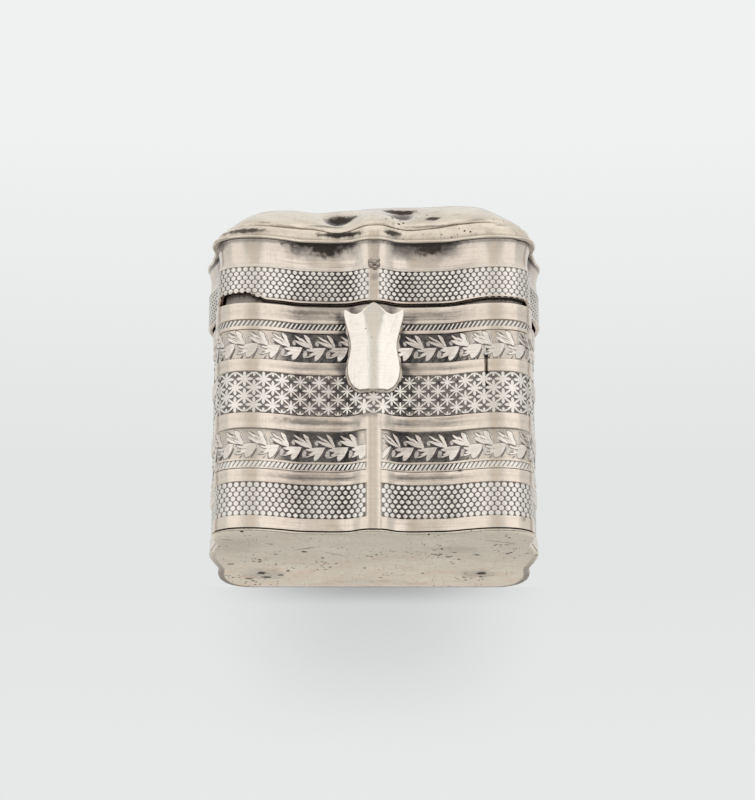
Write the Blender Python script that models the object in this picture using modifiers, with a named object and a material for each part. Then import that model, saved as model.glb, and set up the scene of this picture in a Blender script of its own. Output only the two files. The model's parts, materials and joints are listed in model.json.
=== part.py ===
"""A small silver box for a scented sponge: a serpentine case, a hinged domed lid and a shield for the thumb.

Lengths are in metres and +Z is up. The front faces -Y, and the origin lies on the table, under the middle of
the case. Each sheet, tube and wire of the real box is an object of its own. The lid's pieces hang on an empty
that lies on the hinge's axis.
"""
import math

import bmesh
import bpy
from mathutils import Vector

MM = 0.001

# The plan of the case, at the face of its wall
SIDE_BOW = 16.0 * MM
CASE_DEPTH = 22.0 * MM
FRONT_BOW_X = 11.5 * MM
FRONT_HOLLOW_X = 5.5 * MM
FRONT_HOLLOW_DEPTH = 1.4 * MM
RIDGE_RISE = 0.95 * MM
RIDGE_FLAT = 0.55 * MM
RIDGE_FOOT = 2.3 * MM

# Points from the front bow round to the back, as shares of the side bow and of the depth. The third number is
# the share that the point takes of an extra bow at the side.
SIDE_SHARES = (
    (0.875, 0.018, 0.0),
    (0.937, 0.058, 0.0),
    (0.962, 0.125, 0.0),
    (0.945, 0.220, 0.2),
    (0.970, 0.320, 0.6),
    (1.000, 0.430, 1.0),
    (0.985, 0.550, 0.8),
    (0.960, 0.660, 0.4),
    (0.968, 0.780, 0.1),
    (0.955, 0.880, 0.0),
    (0.900, 0.965, 0.0),
    (0.800, 1.000, 0.0),
)
HOLLOW_SLOPE_SHARES = ((0.30, 0.86), (0.62, 0.36))
RIDGE_FOOT_SHARE = 0.9
SPAN_STEPS = 3
BACK_STEPS = 6

# The case, from the table up
PLATE_THICKNESS = 0.36 * MM
PLATE_OVERHANG = 0.2 * MM
PLATE_ROUNDING = 0.12 * MM
SOLDER_GAP = 0.05 * MM
WALL = 0.5 * MM
MOULDING_RISE = 0.16 * MM
MOULDING_EDGE_SHARE = 0.25
FOOT_BAND = 1.24 * MM
LOWER_SCALES = 3.27 * MM
LOWER_MOULDING = 1.40 * MM
LOWER_ROPE = 0.95 * MM
LOWER_LEAVES = 3.16 * MM
MIDDLE_MOULDING = 1.52 * MM
STARS = 4.10 * MM
UPPER_MOULDING = 1.08 * MM
UPPER_LEAVES = 3.12 * MM
UPPER_ROPE = 1.08 * MM
TOP_BAND = 1.76 * MM

# The liner that the lid shuts over
BEZEL_THICKNESS = 0.3 * MM
BEZEL_GAP = 0.12 * MM
BEZEL_BELOW_MOUTH = 3.4 * MM
BEZEL_ABOVE_MOUTH = 2.1 * MM
BEZEL_LEAN = 0.1 * MM

# The lid
PARTING = 0.38 * MM
LID_WALL = 0.4 * MM
LID_EXTRA_BOW = 0.6 * MM
LID_EDGE = 0.28 * MM
LID_SCALES = 3.05 * MM
LID_COVE = 2.95 * MM
COVE_DEPTH = 0.2 * MM
COVE_FLARE = 0.1 * MM
FLANGE_THICKNESS = 0.36 * MM
FLANGE_OVERHANG = 0.22 * MM
FLANGE_EDGE_DROP = 0.08 * MM
FLANGE_LIP = 0.4 * MM
LOWER_SWELL_INSET = 0.75 * MM
LOWER_SWELL_RISE = 1.9 * MM
DOME_RISE = 6.4 * MM
VALLEY_X = 4.1 * MM
VALLEY_WIDTH = 2.2 * MM
VALLEY_DEPTH = 0.9 * MM

# Each point gives the share of the way in and the share of the rise
COVE_SHARES = ((0.15, 0.6), (0.45, 1.0), (0.8, 0.4))
LOWER_SWELL_SHARES = ((0.18, 0.48), (0.52, 0.84), (1.0, 1.0))
UPPER_SWELL_SHARES = (
    (0.04, 0.15), (0.10, 0.29), (0.18, 0.43), (0.28, 0.58), (0.40, 0.72), (0.54, 0.84), (0.70, 0.93), (0.86, 0.985),
)
TOP_RELIEF_SHARE = 0.45

# The dome's sides are steeper than its front. Their way in is the first share of the front's at the crease, and
# the second share is added to it by the crown.
SIDE_WAY_SHARES = (0.32, 0.38)

# The valleys are shallow on the lower swell, and end between these shares of the half depth
LOWER_VALLEY_SHARE = 0.45
VALLEY_END_SHARES = (0.18, 0.6)

# The hinge
KNUCKLE_RADIUS = 0.8 * MM
PIN_RADIUS = 0.36 * MM
PIN_CLEARANCE = 0.05 * MM
PIN_HEAD_RADIUS = 0.56 * MM
PIN_HEAD_THICKNESS = 0.25 * MM
HINGE_LENGTH = 17.0 * MM
KNUCKLE_GAP = 0.1 * MM
KNUCKLE_SEAT_GAP = 0.08 * MM
TURNED_SIDES = 20

# Points closer than this are one point
MERGE = 0.001 * MM

# The shield on the front, as it would be cut from flat sheet
SHIELD_WIDTH = 5.9 * MM
SHIELD_HEIGHT = 8.9 * MM
SHIELD_THICKNESS = 0.4 * MM
SHIELD_TOP_BELOW_MOUTH = 0.1 * MM
SHIELD_SEAT_GAP = 0.1 * MM
SHIELD_LEAN = 0.45 * MM
SHIELD_LEAN_FROM_SHARE = 0.6
SHIELD_COLUMNS = 25
SHIELD_ROWS = 8
SHIELD_SPARE = 0.6 * MM

# The right half of the shield's outline, as shares of half its width and of its height above its foot
SHIELD_SHARES = (
    (0.00, 0.000), (0.30, 0.005), (0.62, 0.045), (0.84, 0.130), (0.97, 0.240), (0.94, 0.320), (0.84, 0.420),
    (0.80, 0.520), (0.83, 0.640), (0.93, 0.780), (0.99, 0.870), (0.985, 0.935), (0.90, 0.950), (0.78, 0.905),
    (0.58, 0.885), (0.38, 0.915), (0.20, 0.975), (0.00, 1.000),
)

CASE_SILVER = (0.80, 0.76, 0.72)
LID_SILVER = (0.78, 0.74, 0.69)
PLATE_SILVER = (0.70, 0.66, 0.60)
SHIELD_SILVER = (0.90, 0.87, 0.82)
LINER_SILVER = (0.30, 0.26, 0.23)
HINGE_SILVER = (0.62, 0.58, 0.54)

# Heights and places that follow from the sizes above
CASE_BANDS = (
    (FOOT_BAND, True),
    (LOWER_SCALES, False),
    (LOWER_MOULDING, True),
    (LOWER_ROPE + LOWER_LEAVES, False),
    (MIDDLE_MOULDING, True),
    (STARS, False),
    (UPPER_MOULDING, True),
    (UPPER_LEAVES + UPPER_ROPE, False),
    (TOP_BAND, True),
)
WALL_FOOT_Z = PLATE_THICKNESS + SOLDER_GAP
MOUTH_Z = WALL_FOOT_Z + sum(height for height, raised in CASE_BANDS)
LID_FOOT_Z = MOUTH_Z + PARTING
LID_BAND_TOP_Z = LID_FOOT_Z + LID_EDGE + LID_SCALES + LID_COVE
FLANGE_TOP_Z = LID_BAND_TOP_Z + SOLDER_GAP + FLANGE_THICKNESS
FRONT_Y = -CASE_DEPTH / 2
BACK_Y = CASE_DEPTH / 2
HINGE_Y = BACK_Y + MOULDING_RISE + KNUCKLE_SEAT_GAP + KNUCKLE_RADIUS
HINGE_Z = (MOUTH_Z + LID_FOOT_Z) / 2
KNUCKLE_COUNT = 5
KNUCKLE_LENGTH = (HINGE_LENGTH - (KNUCKLE_COUNT - 1) * KNUCKLE_GAP) / KNUCKLE_COUNT


def clear_scene():
    """Remove the objects that the file opened with."""
    for obj in list(bpy.data.objects):
        bpy.data.objects.remove(obj, do_unlink=True)


def new_collection(name):
    """Make a collection in the scene."""
    collection = bpy.data.collections.new(name)
    bpy.context.scene.collection.children.link(collection)
    return collection


def silver(name, colour, roughness):
    """Make a plain silver material."""
    material = bpy.data.materials.new(name)
    material.use_nodes = True
    shader = material.node_tree.nodes["Principled BSDF"]
    shader.inputs["Base Color"].default_value = (*colour, 1.0)
    shader.inputs["Metallic"].default_value = 1.0
    shader.inputs["Roughness"].default_value = roughness
    return material


def smooth_line(points, steps):
    """Points along a smooth curve through the given points, whose two ends run along X."""
    gaps = [(b - a).length for a, b in zip(points, points[1:])]
    slopes = [(b - a) / gap for a, b, gap in zip(points, points[1:], gaps)]
    tangents = [Vector((1, 0))]
    for i in range(1, len(points) - 1):
        before, after = gaps[i - 1], gaps[i]
        tangents.append((slopes[i - 1] * after + slopes[i] * before) / (before + after))
    tangents.append(Vector((-1, 0)))
    line = [points[0]]
    for i, gap in enumerate(gaps):
        for step in range(1, steps + 1):
            t = step / steps
            start = points[i] * (2 * t**3 - 3 * t**2 + 1) + tangents[i] * gap * (t**3 - 2 * t**2 + t)
            end = points[i + 1] * (3 * t**2 - 2 * t**3) + tangents[i + 1] * gap * (t**3 - t**2)
            line.append(start + end)
    return line


def plan(extra_bow=0.0, relief=1.0):
    """The serpentine outline, counter-clockwise from the middle of the front.

    extra_bow moves the side bows out, and relief is the share of the front's hollows and ridge that is kept.
    """
    hollow_y = FRONT_Y + FRONT_HOLLOW_DEPTH * relief
    ridge_y = hollow_y - RIDGE_RISE * relief
    half = [
        Vector((0, ridge_y)),
        Vector((RIDGE_FLAT, ridge_y)),
        Vector((RIDGE_FOOT, ridge_y + RIDGE_RISE * relief * RIDGE_FOOT_SHARE)),
        Vector((FRONT_HOLLOW_X, hollow_y)),
    ]
    for across, depth in HOLLOW_SLOPE_SHARES:
        x = FRONT_HOLLOW_X + (FRONT_BOW_X - FRONT_HOLLOW_X) * across
        half.append(Vector((x, FRONT_Y + FRONT_HOLLOW_DEPTH * relief * depth)))
    half.append(Vector((FRONT_BOW_X, FRONT_Y)))
    for across, back, bow in SIDE_SHARES:
        half.append(Vector((SIDE_BOW * across + extra_bow * bow, FRONT_Y + CASE_DEPTH * back)))
    right = smooth_line(half, SPAN_STEPS)
    corner = right[-1]
    straight = [Vector((corner.x * (1 - 2 * i / BACK_STEPS), corner.y)) for i in range(1, BACK_STEPS)]
    left = [Vector((-p.x, p.y)) for p in reversed(right[1:])]
    return right + straight + left


def grown(outline, distance):
    """The outline moved outwards along its own normals."""
    moved = []
    for i, point in enumerate(outline):
        along = (outline[(i + 1) % len(outline)] - outline[i - 1]).normalized()
        moved.append(point + Vector((along.y, -along.x)) * distance)
    return moved


def flat_curve(name, points, collection):
    """A closed flat curve of straight runs."""
    data = bpy.data.curves.new(name, "CURVE")
    data.dimensions = "2D"
    data.fill_mode = "NONE"
    spline = data.splines.new("POLY")
    spline.points.add(len(points) - 1)
    for target, (x, y) in zip(spline.points, points):
        target.co = (x, y, 0, 1)
    spline.use_cyclic_u = True
    obj = bpy.data.objects.new(name, data)
    collection.objects.link(obj)
    return obj


def hide_guide(obj):
    """Keep a guide or a cutter out of the finished box."""
    obj.hide_render = True
    obj.display_type = "WIRE"


def strip(name, outline, section, material, parts, guides):
    """A moulded strip: a section, drawn as distance outwards and height, swept round the outline."""
    guide = flat_curve(name + "_section", [(-out, up) for out, up in section], guides)
    hide_guide(guide)
    obj = flat_curve(name, outline, parts)
    obj.data.bevel_mode = "OBJECT"
    obj.data.bevel_object = guide
    obj.data.materials.append(material)
    return obj


def mesh_object(name, bm, collection):
    """Turn a bmesh into an object."""
    data = bpy.data.meshes.new(name)
    bm.to_mesh(data)
    bm.free()
    obj = bpy.data.objects.new(name, data)
    collection.objects.link(obj)
    return obj


def make_case_wall(parts, guides):
    """The strip round the case, with plain mouldings that stand proud of the figured bands."""
    section = []
    z = WALL_FOOT_Z
    for height, raised in CASE_BANDS:
        if raised:
            edge = height * MOULDING_EDGE_SHARE
            section += [(0, z), (MOULDING_RISE, z + edge), (MOULDING_RISE, z + height - edge)]
        else:
            section.append((0, z))
        z += height
    section += [(0, MOUTH_Z), (-WALL, MOUTH_Z), (-WALL, WALL_FOOT_Z)]
    return strip("case_wall", plan(), section, silver("case_silver", CASE_SILVER, 0.3), parts, guides)


def make_base_plate(parts):
    """The flat plate under the wall, standing a little proud of it all round."""
    outline = grown(plan(), PLATE_OVERHANG - PLATE_ROUNDING)
    obj = flat_curve("base_plate", outline, parts)
    obj.data.fill_mode = "BOTH"
    obj.data.extrude = PLATE_THICKNESS / 2 - PLATE_ROUNDING
    obj.data.bevel_depth = PLATE_ROUNDING
    obj.data.bevel_resolution = 1
    obj.location.z = PLATE_THICKNESS / 2
    obj.data.materials.append(silver("plate_silver", PLATE_SILVER, 0.4))
    return obj


def make_bezel(parts, guides):
    """The liner inside the mouth. Its top leans in, so that the lid finds its way over it."""
    outer = -WALL - BEZEL_GAP
    inner = outer - BEZEL_THICKNESS
    foot = MOUTH_Z - BEZEL_BELOW_MOUTH
    top = MOUTH_Z + BEZEL_ABOVE_MOUTH
    section = [
        (outer, foot),
        (outer, MOUTH_Z),
        (outer - BEZEL_LEAN, top),
        (inner - BEZEL_LEAN, top),
        (inner, MOUTH_Z),
        (inner, foot),
    ]
    return strip("bezel", plan(), section, silver("liner_silver", LINER_SILVER, 0.45), parts, guides)


def make_lid_band(parts, guides):
    """The strip round the lid: a plain edge, the scale band, and a cove that flares out under the flange."""
    cove_foot = LID_FOOT_Z + LID_EDGE + LID_SCALES
    section = [(0, LID_FOOT_Z), (0, cove_foot)]
    for up, depth in COVE_SHARES:
        section.append((-COVE_DEPTH * depth, cove_foot + LID_COVE * up))
    section += [(COVE_FLARE, LID_BAND_TOP_Z), (-LID_WALL, LID_BAND_TOP_Z), (-LID_WALL, LID_FOOT_Z)]
    outline = plan(LID_EXTRA_BOW)
    return strip("lid_band", outline, section, silver("lid_silver", LID_SILVER, 0.3), parts, guides)


def dome_steps():
    """The stamped top from its rim to its crown.

    Each step gives the way in at the front and at the sides, the height, the share that is kept of the front's
    relief, and the share of the valleys' depth.
    """
    steps = [
        (0, 0, FLANGE_TOP_Z - FLANGE_EDGE_DROP, 1.0, 0.0),
        (FLANGE_EDGE_DROP, FLANGE_EDGE_DROP, FLANGE_TOP_Z, 1.0, 0.0),
        (FLANGE_LIP, FLANGE_LIP, FLANGE_TOP_Z, 1.0, 0.0),
    ]
    for way_in, rise in LOWER_SWELL_SHARES:
        inset = FLANGE_LIP + LOWER_SWELL_INSET * way_in
        steps.append((inset, inset, FLANGE_TOP_Z + LOWER_SWELL_RISE * rise, 1.0, LOWER_VALLEY_SHARE * rise))
    crease = FLANGE_LIP + LOWER_SWELL_INSET
    reach = CASE_DEPTH / 2 + FLANGE_OVERHANG - crease
    first, growth = SIDE_WAY_SHARES
    for way_in, rise in UPPER_SWELL_SHARES:
        side_way = way_in * (first + growth * way_in)
        height = LOWER_SWELL_RISE + (DOME_RISE - LOWER_SWELL_RISE) * rise
        relief = 1 - (1 - TOP_RELIEF_SHARE) * way_in
        valley = LOWER_VALLEY_SHARE + (1 - LOWER_VALLEY_SHARE) * rise
        steps.append((crease + reach * way_in, crease + reach * side_way, FLANGE_TOP_Z + height, relief, valley))
    return steps


def valley_depth(x, y, half_depth):
    """How deep the two valleys of the front are at a place on the dome."""
    low, high = (share * half_depth for share in VALLEY_END_SHARES)
    front = min(1.0, max(0.0, (-y - low) / (high - low)))
    across = (abs(x) - VALLEY_X) / VALLEY_WIDTH
    return VALLEY_DEPTH * math.exp(-(across**2)) * front * front * (3 - 2 * front)


def make_lid_top(parts):
    """The lid's top and its flange, one stamped sheet: a loft of outlines that shrink towards the crown."""
    half_width = SIDE_BOW + LID_EXTRA_BOW + FLANGE_OVERHANG
    half_depth = CASE_DEPTH / 2 + FLANGE_OVERHANG
    bm = bmesh.new()
    rings = []
    for inset, side_inset, height, relief, valley in dome_steps():
        across = (half_width - side_inset) / half_width
        along = (half_depth - inset) / half_depth
        outline = [Vector((p.x * across, p.y * along)) for p in grown(plan(LID_EXTRA_BOW, relief), FLANGE_OVERHANG)]
        sunk = [height - valley * valley_depth(p.x, p.y, half_depth) for p in outline]
        rings.append([bm.verts.new((p.x, p.y, z)) for p, z in zip(outline, sunk)])
    for lower, upper in zip(rings, rings[1:]):
        for i in range(len(lower)):
            bm.faces.new((lower[i - 1], lower[i], upper[i], upper[i - 1]))
    crown = bm.verts.new((0, 0, FLANGE_TOP_Z + DOME_RISE))
    last = rings[-1]
    for i in range(len(last)):
        bm.faces.new((last[i - 1], last[i], crown))
    obj = mesh_object("lid_top", bm, parts)
    shell = obj.modifiers.new("sheet", "SOLIDIFY")
    shell.thickness = FLANGE_THICKNESS
    shell.offset = -1
    shell.use_even_offset = False
    obj.data.materials.append(silver("dome_silver", LID_SILVER, 0.28))
    obj.data.shade_smooth()
    return obj


def turned(name, profile, closed, material, parts):
    """A piece turned about the X axis from a profile of (place along X, radius)."""
    bm = bmesh.new()
    points = [bm.verts.new((x, 0, radius)) for x, radius in profile]
    for a, b in zip(points, points[1:]):
        bm.edges.new((a, b))
    if closed:
        bm.edges.new((points[-1], points[0]))
    obj = mesh_object(name, bm, parts)
    screw = obj.modifiers.new("turning", "SCREW")
    screw.axis = "X"
    screw.steps = TURNED_SIDES
    screw.render_steps = TURNED_SIDES
    screw.use_merge_vertices = True
    screw.merge_threshold = MERGE
    screw.use_normal_flip = True
    obj.data.materials.append(material)
    return obj


def make_knuckle(name, index, material, parts):
    """One tube of the hinge. The tubes are numbered from -X to +X."""
    bore = PIN_RADIUS + PIN_CLEARANCE
    half = KNUCKLE_LENGTH / 2
    profile = [(-half, KNUCKLE_RADIUS), (half, KNUCKLE_RADIUS), (half, bore), (-half, bore)]
    obj = turned(name, profile, True, material, parts)
    middle = (KNUCKLE_COUNT - 1) / 2
    obj.location = ((index - middle) * (KNUCKLE_LENGTH + KNUCKLE_GAP), HINGE_Y, HINGE_Z)
    return obj


def make_hinge_pin(material, parts):
    """The wire through the tubes, its ends spread over the outer ones."""
    half = HINGE_LENGTH / 2 + KNUCKLE_GAP
    tip = half + PIN_HEAD_THICKNESS
    left = [(-tip, 0), (-tip, PIN_RADIUS), (-half, PIN_HEAD_RADIUS), (-half, PIN_RADIUS)]
    right = [(-x, radius) for x, radius in reversed(left)]
    obj = turned("hinge_pin", left + right, False, material, parts)
    obj.location = (0, HINGE_Y, HINGE_Z)
    return obj


def shield_y(x, height_share):
    """Where the back of the shield lies: clear of the ridge and mouldings, its top leaning out."""
    front = [p for p in plan() if abs(p.x) <= FRONT_HOLLOW_X and p.y < 0]
    front.sort(key=lambda p: p.x)
    x = max(front[0].x, min(front[-1].x, x))
    for a, b in zip(front, front[1:]):
        if a.x <= x <= b.x:
            wall = a.y + (b.y - a.y) * (x - a.x) / (b.x - a.x)
            break
    lean = max(0.0, height_share - SHIELD_LEAN_FROM_SHARE) / (1 - SHIELD_LEAN_FROM_SHARE)
    return wall - MOULDING_RISE - SHIELD_SEAT_GAP - SHIELD_LEAN * lean**2


def make_thumb_shield(parts, guides):
    """The shield: sheet bent over the ridge, then cut to its outline."""
    foot = MOUTH_Z - SHIELD_TOP_BELOW_MOUTH - SHIELD_HEIGHT
    bm = bmesh.new()
    bmesh.ops.create_grid(bm, x_segments=SHIELD_COLUMNS, y_segments=SHIELD_ROWS, size=0.5)
    sheet_width = SHIELD_WIDTH + 2 * SHIELD_SPARE
    sheet_height = SHIELD_HEIGHT + 2 * SHIELD_SPARE
    for vert in bm.verts:
        x = vert.co.x * sheet_width
        up = (vert.co.y + 0.5) * sheet_height - SHIELD_SPARE
        vert.co = (x, shield_y(x, up / SHIELD_HEIGHT), foot + up)
    obj = mesh_object("thumb_shield", bm, parts)
    sheet = obj.modifiers.new("sheet", "SOLIDIFY")
    sheet.thickness = SHIELD_THICKNESS
    sheet.offset = 1
    half = [Vector((across * SHIELD_WIDTH / 2, up * SHIELD_HEIGHT)) for across, up in SHIELD_SHARES]
    outline = half + [Vector((-p.x, p.y)) for p in reversed(half[1:-1])]
    cutter_curve = flat_curve("shield_outline", outline, guides)
    cutter_curve.data.fill_mode = "BOTH"
    cutter_curve.data.extrude = CASE_DEPTH / 2
    cutter_curve.rotation_euler.x = math.pi / 2
    cutter_curve.location = (0, FRONT_Y, foot)
    bpy.context.view_layer.update()
    depsgraph = bpy.context.evaluated_depsgraph_get()
    data = bpy.data.meshes.new_from_object(cutter_curve.evaluated_get(depsgraph))
    welded = bmesh.new()
    welded.from_mesh(data)
    bmesh.ops.remove_doubles(welded, verts=welded.verts, dist=MERGE)
    welded.to_mesh(data)
    welded.free()
    cutter = bpy.data.objects.new("shield_cutter", data)
    guides.objects.link(cutter)
    cutter.matrix_world = cutter_curve.matrix_world
    bpy.data.objects.remove(cutter_curve)
    hide_guide(cutter)
    cut = obj.modifiers.new("outline", "BOOLEAN")
    cut.operation = "INTERSECT"
    cut.solver = "EXACT"
    cut.object = cutter
    obj.data.materials.append(silver("shield_silver", SHIELD_SILVER, 0.2))
    return obj


def main():
    """Build the box."""
    clear_scene()
    parts = new_collection("sponge_box")
    guides = new_collection("guides")
    make_case_wall(parts, guides)
    make_base_plate(parts)
    make_bezel(parts, guides)
    make_thumb_shield(parts, guides)
    hinge_silver = silver("hinge_silver", HINGE_SILVER, 0.35)
    for name, index in (("case_knuckle_left", 0), ("case_knuckle_centre", 2), ("case_knuckle_right", 4)):
        make_knuckle(name, index, hinge_silver, parts)
    make_hinge_pin(silver("pin_silver", HINGE_SILVER, 0.4), parts)

    axis = bpy.data.objects.new("lid_hinge_axis", None)
    axis.location = (0, HINGE_Y, HINGE_Z)
    parts.objects.link(axis)
    bpy.context.view_layer.update()
    lid_pieces = [make_lid_band(parts, guides), make_lid_top(parts)]
    for name, index in (("lid_knuckle_left", 1), ("lid_knuckle_right", 3)):
        lid_pieces.append(make_knuckle(name, index, hinge_silver, parts))
    for piece in lid_pieces:
        piece.parent = axis
        piece.matrix_parent_inverse = axis.matrix_world.inverted()


main()
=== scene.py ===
# %% [markdown]
# This lesson dresses a small silver box for a scented sponge. It was made from thin sheet: a strip was
# rolled with bands of ornament, bent to a serpentine plan and soldered, and the lid was stamped and hinged
# on at the back. The solids of that construction are loaded first. They hold the sizes and the hinge, so
# the looks are built on them.

# %% Load the frame
import json
import math

import bpy
import numpy as np
from mathutils import Matrix, Vector, noise

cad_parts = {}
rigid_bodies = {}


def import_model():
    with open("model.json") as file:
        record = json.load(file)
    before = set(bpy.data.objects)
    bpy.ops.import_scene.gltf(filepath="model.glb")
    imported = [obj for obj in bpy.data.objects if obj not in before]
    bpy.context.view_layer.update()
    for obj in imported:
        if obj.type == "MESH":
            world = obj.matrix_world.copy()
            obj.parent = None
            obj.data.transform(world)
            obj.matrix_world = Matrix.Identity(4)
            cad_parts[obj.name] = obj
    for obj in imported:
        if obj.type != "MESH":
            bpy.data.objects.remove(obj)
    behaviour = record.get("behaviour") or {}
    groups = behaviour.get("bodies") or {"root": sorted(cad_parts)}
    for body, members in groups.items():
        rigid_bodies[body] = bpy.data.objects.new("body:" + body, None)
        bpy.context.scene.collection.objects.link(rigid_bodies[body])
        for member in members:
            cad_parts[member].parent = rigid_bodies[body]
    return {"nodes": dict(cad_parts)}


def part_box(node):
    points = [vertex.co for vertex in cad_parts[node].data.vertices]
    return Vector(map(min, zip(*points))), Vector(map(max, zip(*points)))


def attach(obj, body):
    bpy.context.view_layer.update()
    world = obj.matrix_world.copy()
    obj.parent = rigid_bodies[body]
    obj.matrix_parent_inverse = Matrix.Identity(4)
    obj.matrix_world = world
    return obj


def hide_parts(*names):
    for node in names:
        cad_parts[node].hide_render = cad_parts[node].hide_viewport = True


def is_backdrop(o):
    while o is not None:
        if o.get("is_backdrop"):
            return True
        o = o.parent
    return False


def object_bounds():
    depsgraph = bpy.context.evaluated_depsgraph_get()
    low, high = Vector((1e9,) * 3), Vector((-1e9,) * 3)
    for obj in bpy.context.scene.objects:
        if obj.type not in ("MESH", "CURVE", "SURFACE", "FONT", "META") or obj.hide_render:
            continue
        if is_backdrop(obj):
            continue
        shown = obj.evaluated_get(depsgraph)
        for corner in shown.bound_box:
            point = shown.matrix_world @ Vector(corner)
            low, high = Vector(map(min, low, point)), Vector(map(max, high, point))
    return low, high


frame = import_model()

MM = 0.001
cad_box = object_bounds()
print("solids in the frame:", len(frame["nodes"]))

# %% [markdown]
# A camera is worked out before anything else, because it decides which details show. The real box lay on
# its back on a table and was seen from a little below its foot, so this camera looks up at a box that
# stands. A long lens keeps the edges nearly parallel. Lengths in the picture's pixels give the focal length
# and the shift of the view.

# %% The camera
PICTURE_WIDTH_PX = 755
PICTURE_HEIGHT_PX = 800
FOCAL_LENGTH_PX = 3077
AIM_PX = (373.86, 415.3)
AIM_HEIGHT = 15 * MM
CAMERA_DISTANCE = 308.5 * MM
LOOK_UP = math.radians(17.4)
SENSOR_MM = 36

scene = bpy.context.scene
sight = Vector((0, math.cos(LOOK_UP), math.sin(LOOK_UP)))
up = Vector((0, -math.sin(LOOK_UP), math.cos(LOOK_UP)))
right = Vector((1, 0, 0))
pixel = CAMERA_DISTANCE / FOCAL_LENGTH_PX
aside = right * (PICTURE_WIDTH_PX / 2 - AIM_PX[0]) + up * (AIM_PX[1] - PICTURE_HEIGHT_PX / 2)
camera = bpy.data.objects.new("camera", bpy.data.cameras.new("camera"))
scene.collection.objects.link(camera)
camera.data.sensor_fit = "VERTICAL"
camera.data.sensor_height = SENSOR_MM
camera.data.lens = SENSOR_MM * FOCAL_LENGTH_PX / PICTURE_HEIGHT_PX
camera.data.clip_start = CAMERA_DISTANCE / 10
camera.matrix_world = Matrix((right, up, -sight)).transposed().to_4x4()
camera.location = Vector((0, 0, AIM_HEIGHT)) - sight * CAMERA_DISTANCE + aside * pixel
scene.camera = camera
print("lens in millimetres:", round(camera.data.lens, 1))

# %% [markdown]
# Every strip of the box follows one outline: a ridge in the middle of the front, a hollow on each side of
# it, a bow at each corner and a waist in each end. It could be drawn as a Bezier curve by hand. A table of
# shares with a smooth line through it was chosen, because the solids were made from the same table and so
# both agree exactly.

# %% Sizes of the plan
MOULDING_RISE = 0.16 * MM
COVE_FLARE = 0.1 * MM
FRONT_BOW_X = 11.5 * MM
FRONT_HOLLOW_X = 5.5 * MM
FRONT_HOLLOW_DEPTH = 1.4 * MM
RIDGE_RISE = 0.95 * MM
RIDGE_FLAT = 0.55 * MM
RIDGE_FOOT = 2.3 * MM
RIDGE_FOOT_SHARE = 0.9
HOLLOW_SLOPE_SHARES = ((0.30, 0.86), (0.62, 0.36))
SIDE_SHARES = (
    (0.875, 0.018, 0.0), (0.937, 0.058, 0.0), (0.962, 0.125, 0.0), (0.945, 0.220, 0.2),
    (0.970, 0.320, 0.6), (1.000, 0.430, 1.0), (0.985, 0.550, 0.8), (0.960, 0.660, 0.4),
    (0.968, 0.780, 0.1), (0.955, 0.880, 0.0), (0.900, 0.965, 0.0), (0.800, 1.000, 0.0),
)
SPAN_STEPS = 12
BACK_STEPS = 24

wall_low, wall_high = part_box("case_wall")
lid_low, lid_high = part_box("lid_band")
SIDE_BOW = wall_high.x - MOULDING_RISE
FRONT_Y = wall_low.y + MOULDING_RISE
BACK_Y = wall_high.y - MOULDING_RISE
LID_EXTRA_BOW = lid_high.x - COVE_FLARE - SIDE_BOW
print("side bow in millimetres:", round(SIDE_BOW / MM, 2))

# %% [markdown]
# The curve through the table's points is a cubic spline, whose slope at each point leans on the spans on
# both sides. The right half is drawn and then mirrored, because the halves of the real box agree closely.

# %% The outline
def smooth_line(points, steps):
    """Points along a smooth curve through the given ones, whose two ends run along X."""
    points = np.array(points, float)
    gaps = np.linalg.norm(np.diff(points, axis=0), axis=1)[:, None]
    slopes = np.diff(points, axis=0) / gaps
    inner = (slopes[:-1] * gaps[1:] + slopes[1:] * gaps[:-1]) / (gaps[:-1] + gaps[1:])
    tangents = np.vstack(([1, 0], inner, [-1, 0]))
    t = (np.arange(1, steps + 1) / steps)[:, None]
    line = [points[:1]]
    for i, gap in enumerate(gaps):
        start = points[i] * (2 * t**3 - 3 * t**2 + 1) + tangents[i] * gap * (t**3 - 2 * t**2 + t)
        end = points[i + 1] * (3 * t**2 - 2 * t**3) + tangents[i + 1] * gap * (t**3 - t**2)
        line.append(start + end)
    return np.vstack(line)


def plan(extra_bow=0.0, relief=1.0):
    """The outline counter-clockwise from the middle of the front, as an array of (x, y)."""
    hollow_y = FRONT_Y + FRONT_HOLLOW_DEPTH * relief
    ridge_y = hollow_y - RIDGE_RISE * relief
    half = [(0, ridge_y), (RIDGE_FLAT, ridge_y)]
    half += [(RIDGE_FOOT, ridge_y + RIDGE_RISE * relief * RIDGE_FOOT_SHARE), (FRONT_HOLLOW_X, hollow_y)]
    for across, depth in HOLLOW_SLOPE_SHARES:
        x = FRONT_HOLLOW_X + (FRONT_BOW_X - FRONT_HOLLOW_X) * across
        half.append((x, FRONT_Y + FRONT_HOLLOW_DEPTH * relief * depth))
    half.append((FRONT_BOW_X, FRONT_Y))
    for across, back, bow in SIDE_SHARES:
        half.append((SIDE_BOW * across + extra_bow * bow, FRONT_Y + (BACK_Y - FRONT_Y) * back))
    side = smooth_line(half, SPAN_STEPS)
    rear = np.linspace(side[-1], side[-1] * (-1, 1), BACK_STEPS + 1)[1:-1]
    return np.vstack((side, rear, side[:0:-1] * (-1, 1)))


def outward(outline):
    """The outline's normals, pointing out of the box."""
    along = np.roll(outline, -1, axis=0) - np.roll(outline, 1, axis=0)
    along /= np.linalg.norm(along, axis=1)[:, None]
    return np.column_stack((along[:, 1], -along[:, 0]))


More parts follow.
